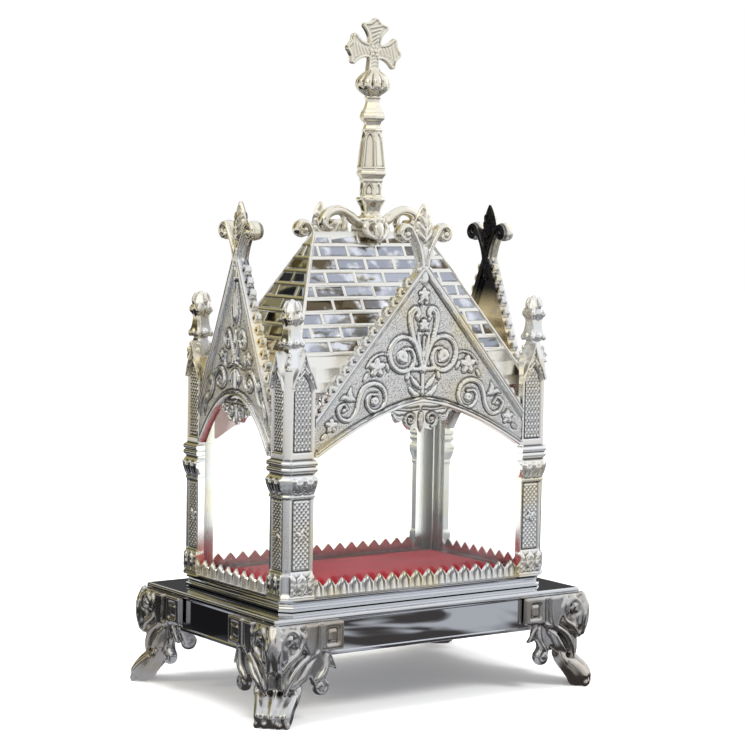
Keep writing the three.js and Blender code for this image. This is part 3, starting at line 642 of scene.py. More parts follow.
def carve_long_gable(field, crown):
    """A lily between ring scrolls that run down to the springing, on one half; the other mirrors it."""
    at = lambda u, rise: np.array([u, crown + rise])
    petal = smooth_path([
        at(0.9, 25), at(4.6, 34), at(8.2, 43), at(10.6, 52), at(10.2, 58.6), at(6.6, 61.4), at(4.0, 58.6),
        at(5.6, 56),
    ], 60)
    field.stroke(petal, swelling(1.1, 2.3, 1.2, 36, 24), 1.5, vein=0.6)
    field.leaf([at(0.6, 28), at(3.4, 38), at(4.6, 47)], 1.5, 1.0)
    field.stroke([at(0, 26), at(0, 43)], np.array([0.5, 0.9]), 1.1, vein=0.5)
    field.rosette(at(0, 50.6), 4.4, 1.4, 6)
    for u, rise in ((2.6, 45), (4.4, 54.5)):
        field.boss(at(u, rise), 1.2, 1.2)
    ring = smooth_path([
        at(1.2, 24), at(3.4, 31), at(7.6, 39.4), at(14.6, 43.2), at(22.6, 41), at(26.8, 33.4), at(24.4, 25),
        at(17.4, 20.8), at(9.8, 23), at(7.2, 29), at(9.8, 34.6), at(15.4, 35.4),
    ], 90)
    field.stroke(ring, swelling(1.2, 1.9, 1.0, 45, 45), 1.5, vein=0.5)
    field.boss(at(16.6, 30.4), 4.6, 1.4, 0.5)
    field.leaf([at(12.6, 27), at(17.4, 28.2), at(21.6, 31.6)], 1.6, 1.9)
    field.stroke([at(-8.4, 22), at(8.4, 22)], 1.5, 1.7, vein=0.4)
    field.boss(at(0, 22), 3.0, 2.1, 0.5)
    field.stroke([at(0, 3.4), at(0, 18.6)], np.array([0.9, 1.3]), 1.3, vein=0.7)
    field.leaf([at(1.8, 3.6), at(7.6, 6.4), at(12.2, 12.2)], 2.1, 1.3, lobes=3)
    field.leaf([at(1.6, 9), at(6.4, 13), at(10.6, 19)], 2.0, 1.4, lobes=2)
    field.leaf([at(11.6, 20.5), at(13.2, 14)], 1.6, 1.3)
    field.stroke(smooth_path([at(27.6, 31.4), at(32, 32.6), at(37, 31.8), at(41.4, 29), at(44.6, 24.6)], 30),
                 np.linspace(0.6, 1.0, 30), 1.1)
    field.rosette(at(36.8, 23.8), 6.6, 1.5)
    field.leaf([at(29.6, 26.5), at(27.4, 20.4)], 1.4, 1.1)
    field.leaf([at(44.2, 20.6), at(47.4, 14.6)], 1.3, 1.0)
    scroll = smooth_path([
        at(36.6, 6.6), at(42.8, 6.2), at(44.6, 0.6), at(40.4, -4.2), at(33.4, -3.4), at(29.6, 3.2),
        at(32.2, 10.6), at(39.4, 13.6), at(47, 11), at(50.6, 4), at(52.4, -3.4), at(57.4, -9.2), at(64, -8.4),
        at(67, -2.6), at(62.6, 1.2), at(59.4, -2.4),
    ], 110)
    field.stroke(scroll, swelling(0.9, 1.7, 0.9, 60, 50), 1.5, vein=0.4)
    field.boss(at(38, 2), 3.2, 1.5, 0.6)
    field.boss(at(62, -3), 1.6, 1.2)
    field.leaf([at(53.6, 2.4), at(57.6, 7.2), at(56.8, 12)], 1.9, 1.2, lobes=2)
    field.leaf([at(55.8, 2.6), at(61.6, 5.4), at(65.6, 3.8)], 1.6, 1.2)
    field.rosette(at(71.6, -12.4), 4.9, 1.4)
    field.leaf([at(75.4, -17.4), at(79.4, -21)], 1.4, 1.0)
    field.rosette(at(0, 70.6), 4.8, 1.4)
    field.leaf([at(0.6, 64.4), at(4.6, 66.6)], 1.2, 1.1)
    field.leaf([at(0, 77), at(0, 83)], 1.3, 1.0)


def carve_short_gable(field, crown):
    """The narrow gable: a drop over a heart of curls, a rosette and two scrolls."""
    at = lambda u, rise: np.array([u, crown + rise])
    field.stroke([at(0, 47), at(0, 52), at(0, 58), at(0, 67), at(0, 73)],
                 np.array([0.6, 2.5, 3.2, 2.0, 0.5]), 1.6, vein=0.6)
    field.stroke(smooth_path([at(3.6, 46), at(5.4, 55), at(3.4, 66), at(0.8, 76)], 30), 0.5, 0.8)
    field.stroke(smooth_path([at(0.6, 25.5), at(3.4, 33), at(8.0, 41.8), at(12.2, 38.5), at(11.6, 33.0),
                              at(7.8, 31.8), at(6.4, 35.6)], 50), np.linspace(1.5, 1.0, 50), 1.6, vein=0.4)
    field.boss(at(8.7, 36), 1.5, 1.4)
    field.leaf([at(0, 33), at(0, 44)], 1.7, 1.4)
    field.rosette(at(0, 23.4), 4.7, 1.5, 6)
    field.stroke(smooth_path([at(5, 20), at(10, 18.6), at(12.4, 22), at(11.6, 26.4)], 26), 0.8, 1.2)
    field.rosette(at(16.4, 25), 4.0, 1.5)
    field.leaf([at(1.4, 17), at(4.6, 11.6), at(3.2, 5.6)], 1.8, 1.4, lobes=2)
    field.stroke([at(0, 4), at(0, 17)], 0.9, 1.3)
    scroll = smooth_path([
        at(16.4, 9.6), at(19.2, 11.4), at(21.4, 8.2), at(19, 5), at(14.6, 5.6), at(12.4, 10.4), at(15, 15.6),
        at(20.6, 16), at(25.4, 11), at(27.6, 3), at(31, -3.4), at(34.8, -3.8),
    ], 70)
    field.stroke(scroll, swelling(0.9, 1.5, 0.8, 35, 35), 1.6, vein=0.4)
    field.boss(at(17.6, 8.2), 1.6, 1.6)
    field.rosette(at(29.4, 8.4), 3.0, 1.3)
    field.leaf([at(33.4, -0.4), at(36.6, -8), at(38.6, -16)], 1.8, 1.3, lobes=3)


def gable_plate(plan, carve):
    """The carved plate with its moulded coping, as one closed sheet of columns."""
    half, pitch = plan["half"], plan["pitch"]
    columns = int(2 * half / pitch) + 1
    rows = int((plan["apex"] + plan["lift"] - plan["crown"]) / (pitch * 1.12))
    u = np.linspace(-half, half, columns)
    low = arch_curve(plan, u)
    high = slope_line(plan, u) + plan["lift"]
    share = np.linspace(0, 1, rows)
    v = low[:, None] + (high - low)[:, None] * share
    u = np.broadcast_to(u[:, None], v.shape)
    field = Carving(np.abs(u), v)
    carve(field, plan["crown"])
    inside = (slope_line(plan, u) - v) / math.hypot(1, plan["slope"])
    steep = np.gradient(arch_curve(plan, u[:, 0]), u[:, 0])[:, None]
    over_arch = (v - low[:, None]) / np.hypot(1, np.minimum(np.abs(steep), 2.5))
    height = field.finished(punched(u, v, 1.1, 0.1))
    height = height * smoothstep(-0.2, 1.2, inside - 0.6) * smoothstep(0, 1, over_arch - 3.6)
    rim = 1.9 * smoothstep(0, 0.6, over_arch + 0.3) * (1 - smoothstep(3.2, 3.7, over_arch))
    rim += groove(over_arch, 2.0, 0.35, 0.7) + groove(over_arch, 4.2, 0.5, 0.7)
    coping = COPING_FACE * smoothstep(-0.1, 0.5, -inside) + groove(inside, 0.9, 0.6, 0.9)
    coping += 0.35 * smoothstep(0.6, 2.4, -inside) + groove(inside, -3.1, 0.35, 0.4)
    height = np.where(inside < 0.6, np.maximum(coping, -0.9), height + rim + groove(inside, 0.9, 0.6, 0.9))
    front = np.stack([u, v, plan["face"] + height], 2)
    return closed_sheet(front, plan["face"] - PLATE)


def closed_sheet(front, back):
    """Closes a carved sheet of columns with a flat back and walls."""
    columns, rows = front.shape[:2]
    index = np.arange(columns * rows).reshape(columns, rows)
    quads = np.stack([index[:-1, :-1], index[1:, :-1], index[1:, 1:], index[:-1, 1:]], -1)
    faces = quads.reshape(-1, 4).tolist()
    foot = front[:, 0].copy()
    top = front[:, -1].copy()
    foot[:, 2] = top[:, 2] = back
    first = columns * rows
    low = np.arange(first, first + columns)
    high = low + columns
    for k in range(columns - 1):
        faces.append([index[k, 0], low[k], low[k + 1], index[k + 1, 0]])
        faces.append([index[k, -1], index[k + 1, -1], high[k + 1], high[k]])
        faces.append([low[k], high[k], high[k + 1], low[k + 1]])
    faces.append([*index[0].tolist(), high[0], low[0]])
    faces.append([*index[-1][::-1].tolist(), low[-1], high[-1]])
    faces = [[int(i) for i in face] for face in faces]
    return np.vstack([front.reshape(-1, 3), foot, top]), faces


def coping_strip(plan):
    """The deeper back part of the coping, along one slope."""
    half, lift = plan["half"], plan["lift"]
    outline = [(0, plan["apex"] + 0.4), (half, SHOULDER + 0.4), (half, SHOULDER + lift - 0.3),
               (0, plan["apex"] + lift - 0.3)]
    face = plan["face"]
    return slab(outline, face + COPING_PROUD - COPING_DEPTH, face - 0.5)


def crocket():
    """One small curled leaf, standing on the coping with its tip bent up the slope."""
    stem = [(-2.6, -1.4, 0), (-2.2, 1.2, 0), (-0.4, 3.4, 0), (2.0, 3.9, 0), (2.7, 2.3, 0), (1.5, 1.7, 0)]
    radii = [1.5, 1.7, 1.7, 1.6, 1.5, 1.3, 1.1, 0.8]
    leaf = tube(smooth_path(stem, 8), radii, across=(0, 0, 1), flat=1.7, sides=6)
    lobe = ball((-2.8, 1.0, 1.6), (1.2, 1.5, 1.3), levels=5, sides=8)
    behind = lobe[0] * (1, 1, -1), [face[::-1] for face in lobe[1]]
    return merged([leaf, lobe, behind])


def crocket_rows(plan):
    slope, half, lift = plan["slope"], plan["half"], plan["lift"]
    length = half * math.hypot(1, slope)
    count = int((length - 12) / CROCKET_PITCH)
    unit = np.array([-1, slope]) / math.hypot(1, slope)
    start = np.array([half, SHOULDER + lift]) + unit * 5
    end = start + unit * CROCKET_PITCH * (count - 1)
    w = plan["face"] + COPING_PROUD - COPING_DEPTH + 3.2
    turn = 180 - math.degrees(math.atan(slope))
    points, faces = crocket()
    shape = ((points * 0.9 - (0, 0.9, 0)) * (1, -1, 1), [face[::-1] for face in faces])
    right = row(shape, (*start, w), (*end, w), count, turn)
    return [right, mirrored(right)]


def gable_finial(plan):
    """The pointed leaf between two broad bands that flare from the neck and roll over at their ends."""
    neck = plan["apex"] + plan["neck"]
    w = plan["face"] - 2.6
    reach = plan["reach"]
    at = lambda u, rise, out=0.0: (u, neck + rise, w + out)
    parts = [
        tube([at(0, -13), at(0, -6), at(0, 0), at(0, 6)], [5.2, 4.6, 4.2, 4.4], (0, 0, 1), 0.85),
        tube([at(-4.6, -6.5), at(4.6, -6.5)], 2.2, (0, 0, 1), 1.9),
        wedge_between_bands(at, reach),
    ]
    for sign in (-1, 1):
        curl = spiral((sign * (reach - 6), 16.6), 5.2, 2.2, 90, -sign * 330, 34)
        stem = smooth_path([(sign * 1.9, -5), (sign * 2.8, 1.5), (sign * 5.2, 9), (sign * 9.4, 16.4),
                            (sign * (reach - 9.4), 20.6), (sign * (reach - 6), 21.8)], 22)
        path = [at(u, rise) for u, rise in (*stem[:-1], *curl)]
        radii = np.interp(np.arange(len(path)), [0, 10, 22, len(path) - 1], [1.5, 2.3, 2.4, 1.7])
        parts.append(tube(path, radii, (0, 0, 1), 1.85, 12))
        for edge in (-3.5, 3.5):
            rim = [at(u, rise, edge) for u, rise in (*stem[:-1], *curl[:24])]
            parts.append(tube(rim, radii[: len(rim)] * 0.42 + 0.55, (0, 0, 1), 1.0, 8))
        eye = [at(sign * (reach - 6), 16.6, out) for out in (-4.7, 4.7)]
        parts.append(tube(eye, 1.9, (0, 1, 0), 1.0, 12))
    parts += finial_leaf(at)
    return cast(parts, FINIAL_SKIN, 1)


def wedge_between_bands(at, reach):
    """The thin web that fills the fork between the two bands."""
    outline = [(-2, 0), (2, 0), (7, 11), (reach - 9, 18), (0, 15), (9 - reach, 18), (-7, 11)]
    centre = at(0, 0)
    return slab([(u, centre[1] + rise) for u, rise in outline], centre[2] - 2.2, centre[2] + 2.0)


def finial_leaf(at):
    """A pointed leaf with a keel and sunk veins, front and back."""
    height, half = 36.5, 7.9
    share = np.linspace(0, 1, 18)
    width = half * np.sin(math.pi * share**0.8) ** 0.7 * (1 - 0.2 * share) + 0.5
    ring = [
        (-1, 0), (-0.6, 0.62), (-0.12, 1), (0.12, 1), (0.6, 0.62), (1, 0), (0.6, -0.62), (0, -0.9),
        (-0.6, -0.62),
    ]
    rings = []
    for t, wide in zip(share, width):
        rise = 10 + (height - 10) * t
        rings.append([at(u * wide, rise, thick * (1.1 + 0.3 * wide)) for u, thick in ring])
    parts = [loft(rings)]
    for k in range(3):
        for sign in (-1, 1):
            for face in (-1, 1):
                root, tip = 13.5 + 5.2 * k, 18.5 + 5.0 * k
                span = 5.8 - 1.1 * k
                vein = [at(sign * 0.9, root, face * 3.2), at(sign * span * 0.6, (root + tip) / 2, face * 2.9),
                        at(sign * span, tip, face * 1.6)]
                parts.append(tube(smooth_path(vein, 8), 0.95, (0, 0, 1), 1.0, 8))
    parts.append(tube([at(0, 12, 3.4), at(0, 22, 3.4), at(0, 33.5, 1.8)], [1.0, 0.9, 0.6], (0, 0, 1), 1.0, 8))
    return parts


def arch_pendant(plan):
    """The ornament that hangs under the crown of the arch, a little behind the face."""
    n = math.sqrt(plan["narrow"])
    half = 31 * n
    columns, rows = int(2 * half / 0.55), 40
    u = np.linspace(-half, half, columns)
    s = np.abs(u) / n
    lobes = np.interp(s, [0, 2.2, 4, 9, 14, 15.5, 20, 24, 25, 31],
                      [21, 17.5, 16.5, 18.5, 13.5, 11, 13, 7.5, 6, 2.5])
    high = arch_curve(plan, u) + 1.5
    low = plan["crown"] - lobes * (0.8 + 0.2 * n)
    low = np.minimum(low, high - 2)
    v = low[:, None] + (high - low)[:, None] * np.linspace(0, 1, rows)
    u = np.broadcast_to(u[:, None], v.shape)
    field = Carving(np.abs(u) / n, v)
    at = lambda s, rise: np.array([s, plan["crown"] + rise])
    field.volute(at(8.4, -11), 5.2, -80, 470, 1.1, 1.5)
    field.leaf([at(0, -6), at(0, -20)], 2.0, 1.6)
    field.leaf([at(14, -9), at(19, -10.5), at(23.5, -5.5)], 2.3, 1.5, lobes=2)
    field.leaf([at(22, -6), at(30, -5)], 1.8, 1.2)
    field.stroke(smooth_path([at(2, -4), at(10, -4.6), at(20, -3.6)], 20), 0.8, 1.2)
    height = field.finished(np.zeros_like(v)) * 0.9
    front = np.stack([u, v, plan["face"] - 1.4 + height], 2)
    return closed_sheet(front, plan["face"] - PLATE)


def roof_ledge(plan, seat):
    """The ledge behind a gable on which the roof stands."""
    return level_bar(LEDGE_HALF, GLASS_TOP + 0.3, ROOF_FOOT - 0.3, seat - 3, plan["face"] - PLATE + 0.5)


def back_reflection_mask(plan, plate, edging, count):
    """Which points of a gable carry the painted reflection of its back: a short one's whole back, and a long
    one's below the roof.
    """
    back_reflection = np.zeros(count)
    on_plate = np.clip((plan["face"] - PLATE + 0.4 - plate[:, 2]) / 0.4, 0, 1)
    if plan is SHORT_GABLE:
        backward = -point_normals(edging)[:, 2]
        back_reflection[len(plate):len(plate) + len(backward)] = np.clip((backward - 0.1) / 0.3, 0, 1)
    else:
        on_plate = on_plate * (plate[:, 1] < ROOF_FOOT)
    back_reflection[:len(plate)] = on_plate
    return back_reflection


def make_gables():
    for plan, carve, seat, sides in (
        (LONG_GABLE, carve_long_gable, ROOF_HIGH[1], (0, 2)),
        (SHORT_GABLE, carve_short_gable, ROOF_HIGH[0], (1, 3)),
    ):
        strip = coping_strip(plan)
        plate = gable_plate(plan, carve)
        edging = merged([strip, mirrored(strip), gable_finial(plan)])
        parts = [plate, edging, arch_pendant(plan), roof_ledge(plan, seat), *crocket_rows(plan)]
        points = merged(parts)[0]
        marks = {
            "ground": (np.abs(points[:, 2] - plan["face"]) < GROUND_REACH).astype(float),
            # Where the painted reflection on the back of the gable lies
            "back_reflection": back_reflection_mask(plan, plate[0], edging, len(points)),
        }
        for side in sides:
            name = SIDES[side]
            piece(f"carved_gable_{name}", [on_side(part, side) for part in parts], RELIEF_METAL,
                  (f"gable_{name}",), sharp=50, marks=marks)


# Corner piers


def pier_profile(z):
    """How far the pier stands out at each height: foot block, capital bell and rings."""
    levels = [
        (FLOOR_LEVEL, 1.0), (FLOOR_LEVEL + 3.2, 1.0), (FLOOR_LEVEL + 4.4, 0.3), (FLOOR_LEVEL + 6, 0.3),
        (FLOOR_LEVEL + 16, 0.3), (FLOOR_LEVEL + 17, 0), (CAPITAL_FOOT, 0), (CAPITAL_FOOT + 1, 0.5),
        (CAPITAL_FOOT + 4, 1.5), (CAPITAL_FOOT + 7, 2.4), (CAPITAL_FOOT + 10, 2.5),
        (CAPITAL_FOOT + 11.8, 1.4), (CAPITAL_FOOT + 12.6, 0.5), (RING_TOP - 8.4, 0.5), (RING_TOP - 8.0, 1.0),
        (RING_TOP - 0.5, 1.0), (RING_TOP + 0.4, 0), (PIER_TOP, 0),
    ]
    out = np.interp(z, [level[0] for level in levels], [level[1] for level in levels])
    for middle, half, height in (
        (CAPITAL_FOOT - 1.2, 1.2, 0.8), (RING_TOP - 5.9, 1.9, 1.4), (RING_TOP - 2.0, 1.9, 1.5),
        (FLOOR_LEVEL + 1.6, 1.2, 0.6),
    ):
        out = out + height * np.sqrt(np.clip(1 - ((z - middle) / half) ** 2, 0, 1))
    return out


def lancet_inside(u, z, half, foot, top):
    """Distance inside a panel with a pointed head, negative outside it."""
    eave = top - 2.05 * half
    radius = 2.6 * half
    head = radius - np.hypot(np.abs(u) + radius - half, z - eave)
    return np.minimum(np.where(z > eave, head, half - np.abs(u)), z - foot)


def box_inside(u, z, half, foot, top):
    return np.minimum(half - np.abs(u), np.minimum(z - foot, top - z))


def sunk_panel(inside, pattern):
    """A sunk field with a rolled edge and a groove round it, which the painted shade in the recesses darkens
    into a dark line.
    """
    deep = 0.8 * smoothstep(-0.2, 0.7, inside)
    return groove(inside, 0.8, 0.5, 0.7) - deep + pattern * smoothstep(0.9, 1.6, inside)


def pier_face_relief(u, z, half):
    """The carving of one face, u from the middle of the face."""
    rim = half - 1.3
    lower = sunk_panel(box_inside(u, z, rim, *LOWER_PANEL), diaper(u, z, 3.5, 0.5) + 0.4)
    upper = sunk_panel(lancet_inside(u, z, rim, *UPPER_PANEL), diaper(u * 1.1, z * 0.8, 3.2, 0.65) + 0.3)
    relief = lower + upper
    field = Carving(u, z)
    middle = (LOWER_PANEL[0] + LOWER_PANEL[1]) / 2
    field.rosette(np.array([0, middle]), min(rim - 0.6, 4.2), 1.0, 4)
    foot = FLOOR_LEVEL + 4.4
    for side in (-1, 0, 1):
        root = side * half * 0.82
        field.leaf([(root, foot), (root * 1.03, foot + 6), (root, foot + 12.5)], half * 0.52, 2.0, lobes=3)
    for side in (-1, 1):
        root = side * half * 0.41
        field.leaf([(root, foot), (root, foot + 8.5)], half * 0.36, 1.5, lobes=2)
    bell = CAPITAL_FOOT + 0.6
    for side in (-1, 0, 1):
        root = side * half * 0.8
        field.leaf([(root, bell), (root, bell + 5), (root, bell + 10.4)], half * 0.44, 0.7, lobes=3)
        field.boss((root, bell + 8.6), 1.5, 1.2)
    for side in (-1, 1):
        field.leaf([(side * half * 0.4, bell), (side * half * 0.4, bell + 8)], half * 0.3, 0.8)
    return relief + field.height


def pier_shaft():
    """The angle casting: a carved skin over both faces and the ribbed corner, with a plain inside."""
    x, y, c = PIER_X, PIER_Y, PIER_CHAMFER
    bend = math.tan(math.pi / 8)
    corners = np.array([(-x + PIER_FRONT, -y), (-x + c, -y), (-x, -y + c), (-x, -y + PIER_SIDE)])
    moves = np.array([(0.5, -1), (-bend, -1), (-1, -bend), (-1, 0.5)])
    z = np.linspace(FLOOR_LEVEL, PIER_TOP, 256)
    pitch = 0.56
    out = pier_profile(z)[:, None]
    skin = []
    for k in range(3):
        a, b = corners[k], corners[k + 1]
        length = np.linalg.norm(b - a)
        share = np.linspace(0, 1, int(length / pitch) + 1)[: None if k == 2 else -1]
        u = (share[None, :] - 0.5) * length + 0 * out
        height = np.broadcast_to(z[:, None], u.shape)
        if k == 1:
            relief = 0.12 * np.cos(math.pi * u / length) * smoothstep(0, 2, height - LOWER_PANEL[0])
        else:
            relief = pier_face_relief(u, height, length / 2)
            edge = length / 2 - np.abs(u)
            relief = relief * smoothstep(-0.1, 0.8, edge)
        stand = (out + relief)[:, :, None]
        move = (moves[k] * (1 - share[:, None]) + moves[k + 1] * share[:, None])[None]
        flat = (a * (1 - share[:, None]) + b * share[:, None])[None] + stand * move
        skin.append(np.concatenate([flat, height[:, :, None]], 2))
    wall_x, wall_y = -x + PIER_WALL, -y + PIER_WALL
    inner = [(wall_x, -y + PIER_SIDE), (wall_x, wall_y), (-x + PIER_FRONT, wall_y)]
    inside = np.array([[(px, py, height) for px, py in inner] for height in z])
    rings = np.concatenate([*skin, inside], 1)
    return loft(rings[:, ::-1])


def gablet(width):
    """The small gable over one face of a pier: a leafy hood that follows the pointed head of the panel."""
    half = width / 2 + 0.4
    eave = UPPER_PANEL[1] - 11
    u = np.linspace(-half, half, int(2 * half / 0.5) + 1)
    share = 1 - np.abs(u) / half
    high = eave + 1.6 + (GABLET_APEX - eave) * (share + 0.06 * np.sin(2 * math.pi * share))
    v = eave + (high[:, None] - eave) * np.linspace(0, 1, 48)
    u = np.broadcast_to(u[:, None], v.shape)
    inside = (high[:, None] - v) * half / math.hypot(half, GABLET_APEX - eave)
    head = lancet_inside(u, v, width / 2 - 1.3, *UPPER_PANEL)
    leaves = punched(np.abs(u), v, 1.9, 0.75, seed=9) + 0.3
    height = leaves * smoothstep(0.7, 1.4, inside) * smoothstep(0.5, 1.2, -head)
    height += 1.2 * (1 - smoothstep(0.9, 1.5, inside)) + 0.9 * np.exp(-(((head + 0.5) / 0.5) ** 2))
    height = np.where(head > 0.1, -2.6, height)
    front = np.stack([u, v, 0.7 + height], 2)
    return closed_sheet(front, -3.2)


def pinnacle():
    """The spirelet, its leafy knop and the tall bud on top, cast in one."""
    cx, cy = -PIER_X + 7.4, -PIER_Y + 7.4
    levels = [
        (PIER_TOP - 2, 7.2), (PIER_TOP, 7.2), (COLLAR - 5.4, 3.7), (COLLAR - 4.4, 4.4), (COLLAR - 3.2, 5.6),
        (COLLAR - 1.6, 6.0), (COLLAR + 0.6, 5.4), (COLLAR + 3, 4.9), (NECK - 2.6, 4.5), (NECK, 4.5),
    ]
    core = loft([at_height(rounded_rectangle(half, half, min(half * 0.3, 1.4), 3), z) for z, half in levels])
    tall = PIER_TIP - NECK
    shares = [
        (-0.1, 4.4), (0.0, 4.8), (0.12, 5.6), (0.24, 6.3), (0.36, 6.4), (0.5, 5.8), (0.66, 4.8), (0.82, 3.5),
        (0.94, 2.1), (1.0, 0.8),
    ]
    path = smooth_path(shares, 34)
    lobes = lambda angle, z: 1 - 0.13 * (1 - np.abs(np.cos(2 * angle)) ** 0.6)
    bud = turned([(NECK + tall * share, radius) for share, radius in path], 48, lobes)
    parts = [(points + (cx, cy, 0), faces) for points, faces in (core, bud)]
    for k in range(4):
        for angle, start, tip, bulge, size in (
            (k * math.pi / 2 + math.pi / 4, -0.04, 0.5, 6.9, 1.5),
            (k * math.pi / 2, 0.3, 0.9, 6.2, 1.3),
        ):
            c, s = math.cos(angle), math.sin(angle)
            stations = (
                (2.6, start),
                (bulge * 0.8, start + 0.16),
                (bulge, (start + tip) / 2 + 0.06),
                (bulge * 0.72, tip),
            )
            leaf = [(cx + c * r, cy + s * r, NECK + tall * share) for r, share in stations]
            radii = np.interp(np.arange(10), [0, 5, 9], [1.0, size, 0.8])
            parts.append(tube(smooth_path(leaf, 10), radii, (-s, c, 0), 1.3, 8))
        angle = k * math.pi / 2 + math.pi / 4
        for turn, rise, reach, size in ((angle, -2.8, 6.9, 1.9), (angle - math.pi / 4, -2.2, 5.4, 2.1)):
            spot = (cx + math.cos(turn) * reach, cy + math.sin(turn) * reach, COLLAR + rise)
            parts.append(ball(spot, (size, size, size * 1.3), math.degrees(turn)))
        for share, size in ((0.3, 1.3), (0.62, 1.2)):
            z = PIER_TOP + (COLLAR - 5.4 - PIER_TOP) * share
            diagonal = (7.2 - 3.5 * share) * 1.36
            spot = (cx + math.cos(angle) * diagonal, cy + math.sin(angle) * diagonal, z)
            parts.append(ball(spot, (size, size, size * 1.6)))
    return cast(parts, PINNACLE_SKIN, 1)


def make_piers():
    front, side = PIER_FRONT - PIER_CHAMFER, PIER_SIDE - PIER_CHAMFER
    on_front = gablet(front)
    points, faces = on_side(on_front, 0)
    on_front = points + (-PIER_X + (PIER_FRONT + PIER_CHAMFER) / 2, -PIER_Y, 0), faces
    points, faces = on_side(gablet(side), 3)
    on_left = points + (-PIER_X, -PIER_Y + (PIER_SIDE + PIER_CHAMFER) / 2, 0), faces
    parts = [pier_shaft(), on_front, on_left, pinnacle()]
    for corner, signs in CORNERS.items():
        piece(f"carved_pier_{corner}", [flipped(part, *signs) for part in parts], RELIEF_METAL,
              (f"pier_{corner}",), sharp=50)


# Plinth, base and feet


def moulded(profile, half_x, half_y, corner):
    """Level rings of a rounded rectangle, drawn in by the given inset at each height."""
    return [at_height(rounded_rectangle(half_x - inset, half_y - inset, max(corner - inset, 0.3)), z)
            for z, inset in profile]


def make_plinth():
    """The mirror-polished hollow slab, from its ceiling down the inside and up the outside."""
    (x, y, top), bottom = PLINTH_HIGH, PLINTH_LOW[2]
    inside = [(top - 3, 4.4), (top - 3.4, 4), (bottom + 0.4, 4), (bottom, 3.6)]
    outside = [
        (bottom, 0.3), (bottom + 0.3, 0), (bottom + 1.9, 0), (bottom + 2.2, 0.3), (bottom + 2.5, 1),
        (bottom + 3.1, 1), (top - 5, 1), (top - 4.4, 1), (top - 3.9, 0.8), (top - 3.4, 0.1), (top - 2.9, 0),
        (top - 1.2, 0), (top - 0.5, 0.2), (top - 0.1, 0.7), (top, 1.4), (top, 2.2),
    ]
    piece("polished_plinth", [loft(moulded(inside + outside, x, y, 1.6))], MIRROR_METAL,
          ("plinth",), sharp=40, carved=False)


def make_base():
    (x, y, top), bottom = BASE_HIGH, BASE_LOW[2]
    steps = [
        (bottom, 0.4), (bottom + 0.2, 0), (bottom + 1.6, 0), (bottom + 1.9, 0.3), (bottom + 2.1, 1.3),
        (bottom + 2.9, 1.6), (bottom + 3.4, 1.5), (bottom + 3.9, 0.9), (bottom + 4.5, 0.8),
        (bottom + 4.8, 1.1), (bottom + 5.1, 1.6), (bottom + 5.4, 1.1), (bottom + 5.9, 0.3), (top - 0.3, 0.3),
        (top, 0.6), (top, 1.4),
    ]
    rings = []
    for z, inset in steps:
        a, b, c = x - inset, y - inset, BASE_CHAMFER
        outline = [
            (a - c, b), (-a + c, b), (-a, b - c), (-a, -b + c), (-a + c, -b), (a - c, -b), (a, -b + c),
            (a, b - c),
        ]
        rings.append(at_height(np.array(outline), z))
    piece("moulded_base", [loft(rings)], MIRROR_METAL, ("casket_base",),
          sharp=40, carved=False)


def wing_point(a, z, out):
    """A point of the wing along the front: a from the corner, out from the slab's face."""
    return (-PLINTH_HIGH[0] - CLEARANCE + a, -PLINTH_HIGH[1] - CLEARANCE - out, z)


def wing_slab(outline, back, front):
    points, faces = on_side(slab(outline, back, front), 0)
    return points + (-PLINTH_HIGH[0] - CLEARANCE, -PLINTH_HIGH[1] - CLEARANCE, 0), faces


def wing_tube(path, radii, flat=1.0):
    path = np.array([wing_point(*p) for p in path])
    count = 26
    radii = np.interp(np.linspace(0, 1, count), np.linspace(0, 1, len(radii)), radii)
    return tube(smooth_path(path, count), radii, (0, 1, 0), flat, 10)


def block(a0, a1, z0, z1, back, front):
    return wing_slab([(a0, z0), (a1, z0), (a1, z1), (a0, z1)], back, front)


